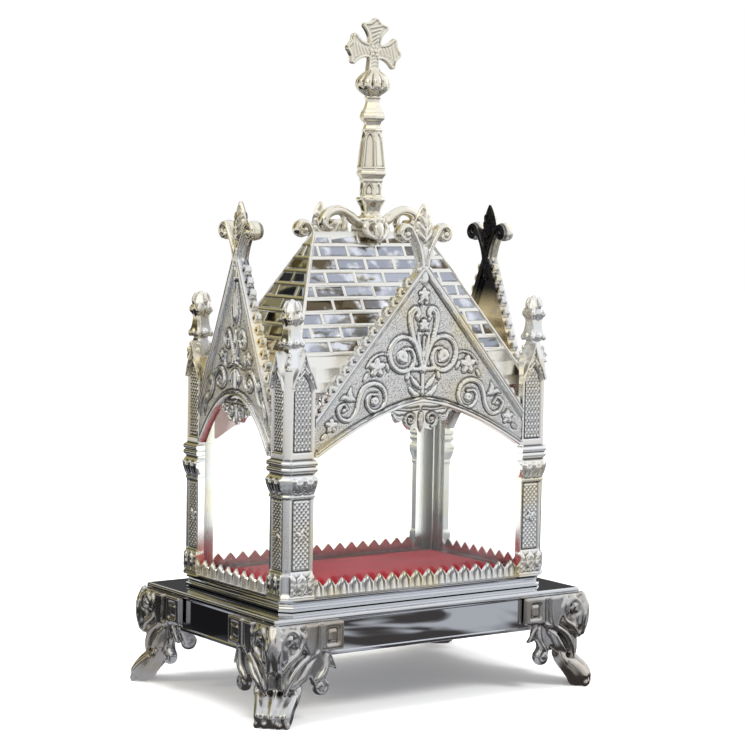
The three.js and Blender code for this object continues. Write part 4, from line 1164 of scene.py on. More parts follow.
def foot_wing():
    """One arm of a foot: the clasp on the slab with its sunk panel, and the leafwork that hangs below."""
    foot, top, end = WING_FOOT, WING_TOP, FOOT_REACH
    parts = [
        block(-2, end - 15, foot, top, 0, 2.6),
        block(end - 16.5, end, foot, foot + 3.6, 0, 4),
        block(end - 16.5, end, top - 3.6, top, 0, 4),
        block(end - 16.5, end - 12.6, foot, top, 0, 4),
        block(end - 3.8, end, foot, top, 0, 4),
        block(end - 14, end - 2, foot + 2, top - 2, 0, 2.4),
        block(end - 10.6, end - 5.8, foot + 5.8, top - 5.8, 0, 3.6),
    ]
    shield = [(20, top), (30, top), (28.8, foot + 2), (27, foot - 2.5), (22.4, foot - 2.5), (20.8, foot + 2)]
    parts.append(wing_slab(shield, 0, 5))
    below = [
        (4, foot + 1), (4, CURL_Z), (14, CURL_Z + 1), (21, CURL_Z + 3), (27, CURL_Z + 7), (28, CURL_Z + 4),
        (31, CURL_Z - 3), (36, CURL_Z - 4), (36.5, CURL_Z + 9), (42, CURL_Z + 16), (end - 10, foot + 1),
    ]
    parts.append(wing_slab(below, -3, 1.8))
    spike = [
        (34, CURL_Z + 9), (38, CURL_Z + 13), (45.4, CURL_Z + 10.2), (41, CURL_Z + 15.5), (40.5, foot - 1),
        (33, foot - 1),
    ]
    parts.append(wing_slab(spike, -3, 2.2))
    curl = spiral((34, CURL_Z), 5.0, 2.2, 80, -330, 26)
    parts.append(wing_tube([(a, z, 0.4) for a, z in curl[::5]], [2.3, 2.4, 2.5, 2.5, 2.4, 2.6], 1.5))
    parts.append(ball(wing_point(34, CURL_Z, 0.6), (3.4, 3.6, 3.4)))
    for path, radii in (
        ([(38, foot, 1.6), (37.4, CURL_Z + 12, 2.2), (34, CURL_Z + 6.5, 2), (30.4, CURL_Z + 3, 1.4)],
         [1.8, 2.3, 2.4, 1.8]),
        ([(39, foot - 1, 1.8), (44, CURL_Z + 13, 1), (46, CURL_Z + 10.4, 0.4)], [1.6, 1.3, 0.7]),
        ([(32, foot - 1, 1.8), (23, foot - 3.5, 3.2), (15, foot - 9, 3.8), (9.6, foot - 17, 3.4),
          (7, foot - 25, 2)], [1.4, 2.0, 2.3, 2.1, 1.5]),
        ([(30, foot - 4.5, 1.2), (24, foot - 9, 2.2), (19, foot - 16, 2.4), (13, foot - 21.5, 1.8)],
         [1.2, 2.4, 2.6, 1.4]),
    ):
        parts.append(wing_tube(path, radii))
    hair = spiral((8.5, top - 8), 6.8, 2.2, -35, 360, 30)
    radii = [1.8, 2.0, 2.1, 2.1, 2.0, 1.9, 1.8, 1.9]
    parts.append(wing_tube([(a, z, 3.4) for a, z in hair[::4]], radii, 1.2))
    parts.append(ball(wing_point(8.5, top - 8, 3.6), (2.6, 2.8, 2.6)))
    for path, radii in (
        ([(15, top - 3, 2.8), (19, top - 9, 3.2), (16, foot + 1, 3.2), (9, foot - 4, 3.6), (3, foot - 11, 3)],
         [1.9, 2.1, 2.0, 2.2, 1.6]),
        ([(1, top - 1, 2), (-1.4, top - 9, 3), (-0.6, foot - 1, 3.6), (0.8, foot - 9, 3)],
         [2.2, 3.2, 3.2, 2.4]),
    ):
        parts.append(wing_tube(path, radii))
    return parts


def foot_leg():
    """The leg and paw on the diagonal of the corner."""
    out = np.array([-1, -1, 0]) / math.sqrt(2)
    across = np.array([1, -1, 0]) / math.sqrt(2)
    corner = np.array([-PLINTH_HIGH[0], -PLINTH_HIGH[1], 0])
    at = lambda d, w, z: corner + out * d + across * w + np.array([0, 0, z])
    angle = np.linspace(0, 2 * math.pi, 20, endpoint=False)
    levels = [
        (-0.8, 0.0, 4.8, 9.2), (1.0, 0.2, 6.6, 11.0), (4, 0.4, 8.0, 12.2), (8, -1.2, 9.4, 12.8),
        (12, -4.2, 9.9, 13.4), (16, -8.0, 8.6, 14.0), (20, -11.6, 6.6, 13.6), (24, -13.4, 4.8, 11.0),
        (28, -13.2, 5.0, 9.2), (33, -10.0, 6.6, 9.0), (38, -6.4, 7.6, 9.2), (42, -4.0, 7.8, 9.2),
        (48, -2.8, 7.6, 8.8), (55, -2.2, 7.2, 7.4), (60.5, -2.0, 6.0, 6.0),
    ]
    rings = [
        [at(d + deep * math.cos(q), wide * math.sin(q), z) for q in angle] for z, d, deep, wide in levels
    ]
    parts = [loft(rings)]
    ridge = [at(6.0, 0, 2.6), at(6.2, 0, 8), at(1.0, 0, 15), at(-6.4, 0, 21.5)]
    parts.append(tube(smooth_path(ridge, 14), np.linspace(3.0, 2.0, 14), across, 1.0, 12))
    for w in (-8.4, 8.4):
        path = [at(-5.4, w * 1.3, 17), at(1.6, w * 1.1, 11), at(4.4, w * 0.98, 6.6), at(4.2, w * 0.92, 3.2)]
        radii = np.interp(np.arange(14), [0, 8, 13], [2.8, 3.8, 3.1])
        parts.append(tube(smooth_path(path, 14), radii, across, 1.0, 12))
    for w in (-9.6, -4.4, 4.4, 9.6):
        parts.append(ball(at(7.4 - abs(w) * 0.14, w, 2.2), (2.2, 2.2, 2.8), 45))
    for w in (-12.2, 12.2):
        path = [at(-14, w * 0.8, 28), at(-11, w, 22), at(-8.4, w, 16.5), at(-6, w * 0.94, 11)]
        radii = [1.8, 2.4, 3.0, 3.2, 3.2, 3.0, 2.7, 2.4, 2.0, 1.6]
        parts.append(tube(smooth_path(path, 10), radii, across))
    for w in (-3.2, 0, 3.2):
        path = [at(3.4, w * 1.3, 55), at(4.2, w * 1.2, 45), at(-1.6, w, 35), at(-8.6, w * 0.8, 26)]
        radii = [1.2, 1.4, 1.5, 1.6, 1.6, 1.6, 1.5, 1.4, 1.4, 1.3, 1.2, 1.1, 1.0, 0.8]
        parts.append(tube(smooth_path(path, 14), radii, across))
    collar = [at(-13, -8.5, 25), at(-8.2, 0, 25.6), at(-13, 8.5, 25)]
    parts.append(tube(smooth_path(collar, 12), 1.5, (0, 0, 1)))
    return parts


def swapped(part):
    """The mirror image across the corner's diagonal, for the wing along the side."""
    points, faces = part
    shift = PLINTH_HIGH[0] - PLINTH_HIGH[1]
    turned_points = np.stack([points[:, 1] - shift, points[:, 0] + shift, points[:, 2]], 1)
    return turned_points, [face[::-1] for face in faces]


def make_feet():
    wing = foot_wing()
    foot = cast(wing + [swapped(part) for part in wing] + foot_leg(), FOOT_SKIN, 2)
    points = foot[0]
    limit = PLINTH_HIGH + CLEARANCE
    beside = (points[:, 2] > PLINTH_LOW[2] - CLEARANCE) & (points[:, :2] > -limit[:2]).all(1)
    over_x = points[:, 0] + limit[0]
    over_y = points[:, 1] + limit[1]
    push_x = beside & (over_x <= over_y)
    points[push_x, 0] = -limit[0]
    points[beside & ~push_x, 1] = -limit[1]
    points[:, 2] = np.maximum(points[:, 2], 0)
    for corner, signs in CORNERS.items():
        piece(f"paw_foot_{corner}", [flipped(foot, *signs)], SMOOTH_METAL,
              (f"foot_{corner}",), sharp=60)


# Fringe, velvet and glass


def fringe_tooth(half):
    """One pointed tooth of the edging: a ridged leaf that leans back a little."""
    across = np.array([-1, -0.7, -0.52, -0.34, 0, 0.34, 0.52, 0.7, 1])
    proud = np.array([0, 0.7, 0.0, 0.6, 1.3, 0.6, 0.0, 0.7, 0])
    rings = []
    for v, share in ((0, 1), (6.4, 1), (8.4, 0.66), (10.2, 0.3), (11.4, 0.05)):
        thick = 1 if v < 9 else 0.6
        front = [(u * half * share, v, w * thick - 0.12 * v) for u, w in zip(across, proud)]
        back = [(half * share, v, -1.1 - 0.12 * v), (-half * share, v, -1.1 - 0.12 * v)]
        rings.append(front + back)
    points, faces = loft(rings)
    return points, [face[::-1] for face in faces]


def make_fringes():
    for plan, sides in ((LONG_GABLE, (0, 2)), (SHORT_GABLE, (1, 3))):
        half = plan["half"]
        count = round(2 * half / TOOTH_PITCH)
        pitch = 2 * half / count
        w = plan["face"] - 0.9
        teeth = row(fringe_tooth(pitch / 2 - 0.05), (-half + pitch / 2, FLOOR_LEVEL, w),
                    (half - pitch / 2, FLOOR_LEVEL, w), count)
        fillet = level_bar(half, FLOOR_LEVEL, FLOOR_LEVEL + 1.3, w - 1.2, w + 1.7)
        rail = level_bar(half, FLOOR_LEVEL, FLOOR_LEVEL + 6.2, w - 1.3, w - 0.9)
        for side in sides:
            name = SIDES[side]
            piece(f"toothed_fringe_{name}", [on_side(part, side) for part in (teeth, fillet, rail)],
                  RELIEF_METAL, (f"fringe_{name}",), sharp=40)


def make_velvet():
    """The velvet-covered board: rounded at its edge and a little fuller in the middle."""
    (x, y, top), bottom = VELVET_HIGH, VELVET_LOW[2]
    rings = [(bottom, 0), (bottom + 1.2, 0), (top - 0.4, 0.4), (top, 1.4), (top + 0.4, 6), (top + 0.8, 16),
             (top + 1.1, 32), (top + 1.2, 50)]
    piece("velvet_board", [loft(moulded(rings, x, y, 2.5))], VELVET, ("velvet_floor",),
          sharp=60, carved=False)


# Roof


def roof_half(z):
    """Half the roof's length and half its width at a height."""
    drop = (RIDGE - z) / (RIDGE - ROOF_FOOT)
    return RIDGE_HALF + (ROOF_HIGH[0] - RIDGE_HALF) * drop, ROOF_HIGH[1] * drop


def roof_ring(z, out):
    half_x, half_y = roof_half(z)
    return at_height(rounded_rectangle(half_x + out, max(half_y + out, 1.2), 0.3, 1), z)


def roof_shell():
    """The hollow hip with its raised level joints."""
    outer = [(ROOF_FOOT, -0.3), (ROOF_FOOT + 0.3, 0)]
    for z in (RIDGE - COURSE * 11, RIDGE - COURSE * 10):
        outer += [(z - 0.5, 0), (z, 0.22), (z + 0.5, 0)]
    for course in range(COURSES, 0, -1):
        z = RIDGE - COURSE * course
        outer += [(z + JOINT * share, out) for share, out in
                  ((-0.5, 0), (-0.4, 0.5), (-0.2, 0.75), (0.2, 0.75), (0.4, 0.5), (0.5, 0))]
    outer += [(RIDGE - 0.3, 0), (RIDGE, -0.2)]
    inner = [(RIDGE - 9, -2.2), (ROOF_FOOT, -2.2)]
    return loft([roof_ring(z, out) for z, out in inner + outer])


def slope_point(long, u, z, out):
    """A point on a roof slope in its side's frame."""
    half_x, half_y = roof_half(z)
    reach = half_y if long else half_x
    run = ROOF_HIGH[1] if long else ROOF_HIGH[0] - RIDGE_HALF
    length = math.hypot(run, RIDGE - ROOF_FOOT)
    return (u, z + out * run / length, reach + out * (RIDGE - ROOF_FOOT) / length)


def course_edges(long, course):
    """The foot and head of a course, the half length of each, and where its first upright joint stands."""
    z0, z1 = RIDGE - COURSE * course + JOINT / 2, RIDGE - COURSE * (course - 1) - JOINT / 2
    half0, half1 = (roof_half(z)[0 if long else 1] - 2.4 for z in (z0, z1))
    shift = (course % 2) * TILE_PITCH / 2
    return z0, z1, half0, half1, shift


def course_tiles(long, rng):
    """The mirror tiles of one slope, each lying at a very slightly different tilt."""
    tiles = []
    for course in range(1, COURSES + 1):
        z0, z1, half0, half1, shift = course_edges(long, course)
        first = -math.ceil((half0 + shift) / TILE_PITCH) * TILE_PITCH + shift
        for k in range(int(2 * half0 / TILE_PITCH) + 3):
            a, b = first + k * TILE_PITCH + UPRIGHT / 2, first + (k + 1) * TILE_PITCH - UPRIGHT / 2
            low = max(a, -half0), min(b, half0)
            high = max(a, -half1), min(b, half1)
            if low[1] - low[0] < 2 or high[1] - high[0] < 0.6:
                continue
            tilt_u, tilt_v = rng.normal(0, 0.16), rng.normal(0, 0.09)
            rings = []
            for inset, out in ((0, -0.5), (0, 0.12), (0.45, 0.42)):
                lean = 1 if inset else 0
                corners = [(low[0] + inset, z0 + inset, -1, -1), (low[1] - inset, z0 + inset, 1, -1),
                           (high[1] - inset, z1 - inset, 1, 1), (high[0] + inset, z1 - inset, -1, 1)]
                rings.append([slope_point(long, u, z, out + lean * (tilt_u * su + tilt_v * sv))
                              for u, z, su, sv in corners])
            tiles.append(loft(rings))
    return tiles


def upright_joints(long):
    """The staggered upright joints of one slope, a row for each course."""
    bars = []
    for course in range(1, COURSES + 1):
        z0, z1, half0, half1, shift = course_edges(long, course)
        middle = (z0 + z1) / 2
        half = (half0 + half1) / 2
        count = int((half - 3 - shift) / TILE_PITCH) + int((half - 3 + shift) / TILE_PITCH) + 1
        if half < shift + 3:
            count -= 1
        if count < 1:
            continue
        first = shift - int((half - 3 + shift) / TILE_PITCH) * TILE_PITCH
        centre = np.array(slope_point(long, 0, middle, 0))
        section = ((-1.1, -0.5), (1.1, -0.5), (1.1, 0.35), (0.6, 0.7), (-0.6, 0.7), (-1.1, 0.35))
        rings = [
            [np.array(slope_point(long, u, z, out)) - centre for u, out in section]
            for z in (z0 - 0.7, z1 + 0.7)
        ]
        start = np.array(slope_point(long, first, middle, 0))
        end = start + (TILE_PITCH * (count - 1), 0, 0)
        bars.append(row(loft(rings), start, end, count))
    return bars


def hip_bars():
    bars = []
    for sx, sy in CORNERS.values():
        foot = (-sx * (ROOF_HIGH[0] - 0.6), -sy * (ROOF_HIGH[1] - 0.6), ROOF_FOOT + 1.5)
        head = (-sx * (RIDGE_HALF - 0.4), 0, RIDGE - 0.8)
        bars.append(tube(np.linspace(foot, head, 6), 1.25, (0, 0, 1), 1.0, 8))
    return bars


def make_roof():
    rng = np.random.default_rng(11)
    joints, tiles = [roof_shell(), *hip_bars()], []
    for side in range(4):
        long = side % 2 == 0
        tiles += [on_side(tile, side) for tile in course_tiles(long, rng)]
        joints += [on_side(bar, side) for bar in upright_joints(long)]
    piece("roof_joints", joints, JOINT_METAL, ("roof",), sharp=40, carved=False)
    tone = np.repeat(rng.random(len(tiles)), len(tiles[0][0]))
    piece("roof_tiles", tiles, TILE_METAL, sharp=30, carved=False, marks={"tone": tone})


# Ridge cresting


def make_cresting():
    """The bowl on the ridge with its leaves, and a broad scroll to each side, cast in one."""
    base = RIDGE + CLEARANCE
    rim = RIDGE + 8
    lobed = lambda angle, z: 1 - 0.07 * (1 - np.abs(np.cos(4 * angle))) * (z < rim)
    bowl = turned([(base, 4.6), (base + 1.5, 5.4), (base + 3.5, 7.6), (base + 5.6, 9.6), (rim - 1, 10.6),
                   (rim + 0.4, 11), (rim + 1.3, 10.4), (rim + 2.2, 7.4), (rim + 4, 6.3), (rim + 6, 6.5),
                   (rim + 9, 7.6), (rim + 11.5, 9.2), (rim + 13, 9.9), (rim + 15, 9.9)], 40, lobed)
    parts = [bowl, slab([(-9, base), (9, base), (7, base + 6), (-7, base + 6)], -3.4, 3.4)]
    parts[1] = on_side(parts[1], 0)
    for k in range(8):
        angle = math.pi * k / 4 + math.pi / 8
        c, s = math.cos(angle), math.sin(angle)
        path = [(c * r, s * r, base + z) for r, z in ((6, 1.8), (8.6, 4), (10.4, 6.4), (10.2, 8.4))]
        radii = np.interp(np.linspace(0, 1, 10), [0, 0.5, 1], [0.9, 1.7, 1.1])
        parts.append(tube(smooth_path(path, 10), radii, (-s, c, 0), 1.25, 8))
    for sign in (-1, 1):
        for lean, wide in ((0, 4.6), (-0.55, 2.6), (0.55, 2.6)):
            path = [
                (lean * 4, sign * 6.4, rim + 1),
                (lean * 15, sign * (9.2 - abs(lean) * 5), rim - 5),
                (lean * 12, sign * (10.6 - abs(lean) * 4), rim - 10),
                (lean * 4, sign * 11.4, rim - (13 if lean else 17)),
            ]
            radii = np.interp(np.linspace(0, 1, 14), [0, 0.35, 0.7, 1], [2.4, wide, wide * 0.75, 0.6])
            narrow, flat = (1.0, 1.0) if lean else (0.8, 1.2)
            parts.append(tube(smooth_path(path, 14), radii * narrow, (1, 0, 0), flat, 10))
    reach, rise = 37.5, 11.5
    arc = [(0.16, 0.34), (0.33, 0.42), (0.47, 0.74), (0.68, 1.02), (0.88, 0.86), (0.985, 0.46), (0.96, 0.08),
           (0.86, -0.02), (0.79, 0.12), (0.82, 0.3)]
    for sign in (-1, 1):
        path = smooth_path([(sign * a * (reach + 1.2), 0, base + 2.2 + z * rise) for a, z in arc], 44)
        share = np.linspace(0, 1, 44)
        radii = np.interp(share, [0, 0.25, 0.55, 0.8, 1], [3.6, 3.1, 3.5, 2.7, 2.1])
        parts.append(tube(path, radii, (0, 1, 0), 1.35, 16))
        eye = path[-1]
        parts.append(tube([eye + (0, -4.4, 0), eye + (0, 4.4, 0)], 2.2, (1, 0, 0), 1.0, 12))
        leg = [(sign * share * reach, 0, base + z) for share, z in ((0.6, 9.5), (0.57, 5), (0.6, 1.4))]
        radii = np.interp(np.arange(12), [0, 5, 11], [1.4, 1.9, 1.5])
        parts.append(tube(smooth_path(leg, 12), radii, (0, 1, 0), 1.9, 10))
        leaf = [(sign * 12, 0, rim + 1), (sign * 15.5, 0, rim + 4.0), (sign * 19.5, 0, rim + 5.0)]
        parts.append(tube(smooth_path(leaf, 10), np.linspace(1.8, 0.8, 10), (0, 1, 0), 1.4, 8))
    piece("cast_cresting", [cast(parts, CRESTING_SKIN, 1)], RELIEF_METAL,
          ("ridge_cresting",), sharp=60)


# Spire and cross


def spire_shaft():
    """The six-sided shaft with round-headed panels below, lancets above and the baluster over them."""
    bottom = SPIRE_LOW[2]
    levels = [
        (0, 7.4), (9.6, 7.4), (10.4, 7.9), (11.2, 8.0), (12.4, 7.8), (14.2, 9.2), (15.0, 9.9), (16.6, 9.9),
        (17.4, 9.3), (18.2, 9.5), (42.6, 6.6), (43.8, 6.8), (44.7, 7.2), (45.6, 6.2), (48, 5.4), (50.2, 6.2),
        (51.6, 7.9), (52.6, 8.5), (54.4, 8.4), (56.5, 7.6), (60, 5.6), (63.6, 4.7), (65.4, 4.9), (66.4, 5.6),
        (67.4, 5.2),
    ]
    z = np.linspace(0, 67.4, 150)
    apothem = 0.88 * np.interp(z, [level[0] for level in levels], [level[1] for level in levels])[:, None]
    share = np.linspace(-1, 1, 20)[:-1]
    half = apothem * math.tan(math.pi / 6)
    u = half * share
    height = np.broadcast_to(z[:, None], u.shape)
    lancet = lancet_inside(u, height, 0.86 * half, 19.6, 43.0)
    arch = lancet_inside(u, height, 2.7, 1.0, 9.2)
    relief = 0.55 * np.exp(-((lancet / 0.45) ** 2)) - 0.55 * smoothstep(0.3, 1.0, lancet)
    relief += 0.5 * np.exp(-((arch / 0.4) ** 2)) - 0.6 * smoothstep(0.3, 0.9, arch)
    relief += groove(height, 56.2, 0.5, 0.3)
    relief = relief * smoothstep(0, 0.12, 1 - np.abs(share))
    rings = []
    for k in range(6):
        angle = math.radians(SPIRE_TURN - 90) + k * math.pi / 3
        out = apothem + relief
        x = out * math.cos(angle) - u * math.sin(angle)
        y = out * math.sin(angle) + u * math.cos(angle)
        rings.append(np.stack([x, y, height + bottom], 2))
    return loft(np.concatenate(rings, 1))


def gadrooned_knob():
    """The onion knob with ten smooth lobes and a row of sunk eyes between them, which the painted shade in
    the recesses darkens.
    """
    middle = KNOB_FOOT + KNOB_HEIGHT * 0.42
    z = np.linspace(KNOB_FOOT, KNOB_FOOT + KNOB_HEIGHT, 48)
    shares = (z - KNOB_FOOT) / KNOB_HEIGHT
    radius = np.interp(shares, [0, 0.06, 0.14, 0.26, 0.36, 0.48, 0.6, 0.72, 0.84, 0.93, 1],
                       [4.8, 5.6, 8.0, 10.6, 11.6, KNOB_RADIUS, 11.3, 9.6, 7.0, 5.0, 4.4])

    def lobes(angle, height):
        rise = (height - KNOB_FOOT) / KNOB_HEIGHT
        depth = 0.13 * smoothstep(0.2, 0.44, rise) * (1 - smoothstep(0.7, 0.98, rise))
        valley = (1 - np.abs(np.cos(5 * angle))) ** 1.6
        eye = np.exp(-((height - middle) / 1.2) ** 2) * np.exp(-((np.cos(5 * angle) / 0.4) ** 2))
        return 1 - depth * valley - 0.09 * eye

    return turned(list(zip(z, radius)), 120, lobes)


def cross_arm(length, foot=0.0):
    """Half the outline of an arm, from the middle outwards, with three points at its end."""
    half, horn = 4.3, length * 0.7
    hollow = [(half + 5.2 * t**2.2, 5.2 + (horn - 5.6) * t) for t in np.linspace(0, 1, 7)]
    tip = [(half + 6.2, horn + 0.5), (half + 5.6, horn + 1.6), (half + 0.9, horn + 2.4), (2.6, length - 2.6),
           (0.9, length - 0.2), (0, length)]
    return [(half, foot), *hollow, *tip]


def cross():
    """The engraved cross: a plate with a raised rim, hatched arms and a small flower in the middle."""
    parts = []
    right = cross_arm(CROSS_ARM, -2)
    outline = right + [(-u, v) for u, v in right[-2::-1]]
    for turn in (-90, 0, 90):
        c, s = math.cos(math.radians(turn)), math.sin(math.radians(turn))
        spin = lambda u, v: (u * c - v * s, u * s + v * c)
        parts.append(slab([spin(u, v) for u, v in outline], -1.4, 1.4))
        for w in (-1.3, 1.3):
            rim = [(*spin(u * 0.92, min(v, CROSS_ARM - 0.9)), w) for u, v in outline[1:-1]]
            parts.append(tube(rim, 0.95, (0, 0, 1), 1.0, 8))
            for k in range(5):
                v = CROSS_ARM * (0.27 + 0.115 * k)
                half = 1.9 + 0.2 * k**2
                bar = [(*spin(-half, v - 1.4), w * 1.1), (*spin(half, v + 1.4), w * 1.1)]
                parts.append(tube(bar, 0.6, (0, 0, 1), 1.0, 6))
    stem = KNOB_FOOT + KNOB_HEIGHT - 3 - CROSS_CENTRE
    parts.append(slab([(-3.8, stem), (3.8, stem), (3.2, 2), (-3.2, 2)], -1.6, 1.6))
    for w in (-1.5, 1.5):
        for side in (-3.1, 3.1):
            parts.append(tube([(side * 1.15, stem + 1, w), (side, 1, w)], 0.85, (0, 0, 1), 1.0, 8))
        for k in range(4):
            v = stem + 3 + 2.4 * k
            parts.append(tube([(-2.4, v - 0.8, w), (2.4, v + 0.8, w)], 0.48, (0, 0, 1), 1.0, 6))
        for k in range(6):
            angle = math.pi / 3 * k
            parts.append(ball((2.8 * math.cos(angle), 2.8 * math.sin(angle), w), (1.25, 1.25, 1.1)))
        parts.append(ball((0, 0, w * 1.15), (1.5, 1.5, 1.2)))
    points, faces = on_side(cast(parts, CROSS_SKIN, 0), 0)
    lean = math.radians(4)
    x, z = points[:, 0].copy(), points[:, 2].copy()
    points[:, 0] = x * math.cos(lean) + z * math.sin(lean)
    points[:, 2] = z * math.cos(lean) - x * math.sin(lean) + CROSS_CENTRE
    return points, faces


def make_spire():
    piece("spire_and_cross", [spire_shaft(), gadrooned_knob(), cross()], RELIEF_METAL,
          ("spire",), sharp=50)


# Materials


def mask_node(tree, value, low, high):
    """None up to low and all from high on, with a soft step between."""
    reach = {"Value": value, "From Min": low, "From Max": high}
    return add_node(tree, "ShaderNodeMapRange", reach, interpolation_type="SMOOTHSTEP").outputs["Result"]


def blend_node(tree, mask, first, second):
    """A colour mix; first and second are sockets or plain colours, and the node knows them by number."""
    inputs = {0: mask}
    for number, colour in ((6, first), (7, second)):
        inputs[number] = (*colour, 1) if isinstance(colour, tuple) else colour
    return add_node(tree, "ShaderNodeMix", inputs, data_type="RGBA").outputs[2]


def math_node(tree, operation, first, second, clamp=False):
    node = add_node(tree, "ShaderNodeMath", {0: first, 1: second}, operation=operation, use_clamp=clamp)
    return node.outputs["Value"]


def noise_node(tree, **inputs):
    """Noise in the piece's own space."""
    place = add_node(tree, "ShaderNodeTexCoord")
    return add_node(tree, "ShaderNodeTexNoise", {"Vector": place.outputs["Object"], **inputs}).outputs["Fac"]


def bump_node(tree, height, strength, distance):
    inputs = {"Height": height, "Strength": strength, "Distance": distance}
    return add_node(tree, "ShaderNodeBump", inputs).outputs["Normal"]


def mark_node(tree, name):
    """What the piece's points carry under that name."""
    return add_node(tree, "ShaderNodeAttribute", attribute_name=name).outputs["Fac"]


def patina_and_painted_light_group():
    """Plating, darkened in its recesses by painted shade, warm in random patches, warmer towards the tops by
    a painted warm reflection, with a painted reflection on the backs of the gables, and grained on its
    ground.
    """
    tree = bpy.data.node_groups.new("plating with painted shade and reflections", "ShaderNodeTree")
    for name, value in (
        ("Bright", (0.93, 0.93, 0.92, 1)),
        ("Warm", (0.94, 0.85, 0.62, 1)),
        ("Shade", (0.1, 0.095, 0.09, 1)),
        ("Shade amount", 0.93),
        ("Polish", 0.2),
        ("Dullness", 0.4),
        ("Grain", 1500.0),
        ("Ground grain", 0.8),
    ):
        kind = "NodeSocketFloat" if isinstance(value, float) else "NodeSocketColor"
        tree.interface.new_socket(name, in_out="INPUT", socket_type=kind).default_value = value
    for name, kind in (("Color", "Color"), ("Roughness", "Float"), ("Height", "Float")):
        tree.interface.new_socket(name, in_out="OUTPUT", socket_type=f"NodeSocket{kind}")
    given = add_node(tree, "NodeGroupInput").outputs
    recess, ground, back_reflection = [mark_node(tree, mark) for mark in ("recess", "ground", "back_reflection")]
    patches = noise_node(tree, Scale=22, Detail=3)
    grain = noise_node(tree, Scale=given["Grain"], Detail=1)
    place = add_node(tree, "ShaderNodeTexCoord").outputs["Object"]
    height = add_node(tree, "ShaderNodeSeparateXYZ", {"Vector": place}).outputs["Z"]
    # Painted warm reflection: the plating turns warmer towards the tops, where the upper parts reflect warm
    # light; the noise patches are random warm tone
    top = math_node(tree, "MULTIPLY", mask_node(tree, height, WARM_REFLECTION_FROM * MM, WARM_REFLECTION_TO * MM), 0.55)
    warm_patches_and_reflection = math_node(tree, "MAXIMUM", mask_node(tree, patches, 0.45, 0.72), top)
    warm = blend_node(tree, warm_patches_and_reflection, given["Bright"], given["Warm"])
    specks = math_node(tree, "MULTIPLY", mask_node(tree, grain, 0.5, 0.34), ground)
    specks = math_node(tree, "MULTIPLY", specks, given["Ground grain"])
    # Painted shade: the recesses are darkened towards the Shade colour, standing in for the shade that falls
    # in them
    shade = math_node(tree, "MULTIPLY", recess, given["Shade amount"])
    plating = blend_node(tree, math_node(tree, "MAXIMUM", shade, specks), warm, given["Shade"])
    # Painted reflection on the backs of the gables: dark above, gold at the roof's height and rosy inside the
    # chamber, for what the flat polished back reflects
    upper = mask_node(tree, height, DARK_REFLECTION_FROM * MM, DARK_REFLECTION_TO * MM)
    inside = mask_node(tree, height, (ROOF_FOOT + 4) * MM, (ROOF_FOOT - 4) * MM)
    painted_back_reflection = blend_node(tree, inside, blend_node(tree, upper, PAINTED_GOLD_REFLECTION, PAINTED_DARK_REFLECTION), PAINTED_ROSY_REFLECTION)
    worn = math_node(tree, "MAXIMUM", recess, ground)
    dull = add_node(tree, "ShaderNodeMix", {0: worn, 2: given["Polish"], 3: given["Dullness"]})
    depth = math_node(tree, "ADD", math_node(tree, "MULTIPLY", ground, 0.8), 0.2)
    add_node(tree, "NodeGroupOutput", {
        "Color": blend_node(tree, back_reflection, plating, painted_back_reflection),
        "Roughness": dull.outputs[0],
        "Height": math_node(tree, "MULTIPLY", grain, depth),
    })
    return tree


def new_material(name):
    material = bpy.data.materials.new(name)
    material.use_nodes = True
    return material, material.node_tree, material.node_tree.nodes["Principled BSDF"]


def plated(name, patina_and_painted_light, bump=0.1, **values):
    """A plated finish: the plating group with its painted shade and painted reflections, given its own
    values, and its grain as a fine bump.
    """
    material, tree, shader = new_material(name)
    values = {socket.replace("_", " "): value for socket, value in values.items()}
    coat = add_node(tree, "ShaderNodeGroup", values, node_tree=patina_and_painted_light).outputs
    feed(tree, shader, {
        "Metallic": 1.0,
        "Base Color": coat["Color"],
        "Roughness": coat["Roughness"],
        "Normal": bump_node(tree, coat["Height"], bump, 0.0003),
    })
    return material


def mirror(name, colour, roughness, waves):
    """Polished plate whose face is very slightly wavy."""
    material, tree, shader = new_material(name)
    feed(tree, shader, {
        "Metallic": 1.0,
        "Base Color": (*colour, 1),
        "Roughness": roughness,
        "Normal": bump_node(tree, noise_node(tree, Scale=14, Detail=1), waves, 0.01),
    })
    return material


def tile_metal():
    """Mirror tiles that have each dulled a little differently, with soft streaks across them."""
    material, tree, shader = new_material("tile faces")
    tone = mark_node(tree, "tone")
    streak = noise_node(tree, Scale=70, Detail=4)
    plain = blend_node(tree, tone, (0.3, 0.32, 0.37), (0.5, 0.52, 0.58))
    tinted = blend_node(tree, mask_node(tree, tone, 0.3, 0.12), plain, (0.14, 0.11, 0.07))
    feed(tree, shader, {
        "Metallic": 1.0,
        "Base Color": blend_node(tree, mask_node(tree, streak, 0.5, 0.66), tinted, (0.8, 0.81, 0.85)),
        "Roughness": 0.1,
        "Normal": bump_node(tree, streak, 0.1, 0.0018),
    })
    return material


def velvet():
    material, tree, shader = new_material("crimson velvet")
    pile = noise_node(tree, Scale=60, Detail=8)
    feed(tree, shader, {
        "Base Color": blend_node(tree, pile, (0.52, 0.002, 0.014), (0.88, 0.005, 0.038)),
        "Roughness": 0.85,
        "Sheen Weight": 0.03,
        "Sheen Tint": (1.0, 0.35, 0.4, 1),
        "Normal": bump_node(tree, pile, 0.5, 0.0006),
    })
    return material


def clear_glass():
    material, tree, shader = new_material("clear pane")
    feed(tree, shader, {
        "Base Color": (0.97, 0.985, 0.98, 1),
        "Roughness": 0.0,
        "IOR": 1.45,
        "Transmission Weight": 1.0,
    })
    return material


def glaze():
    for side in SIDES:
        pane = bpy.data.objects[f"glass_{side}"]
        pane.data.materials.clear()
        pane.data.materials.append(GLASS)


# Floor, light and camera


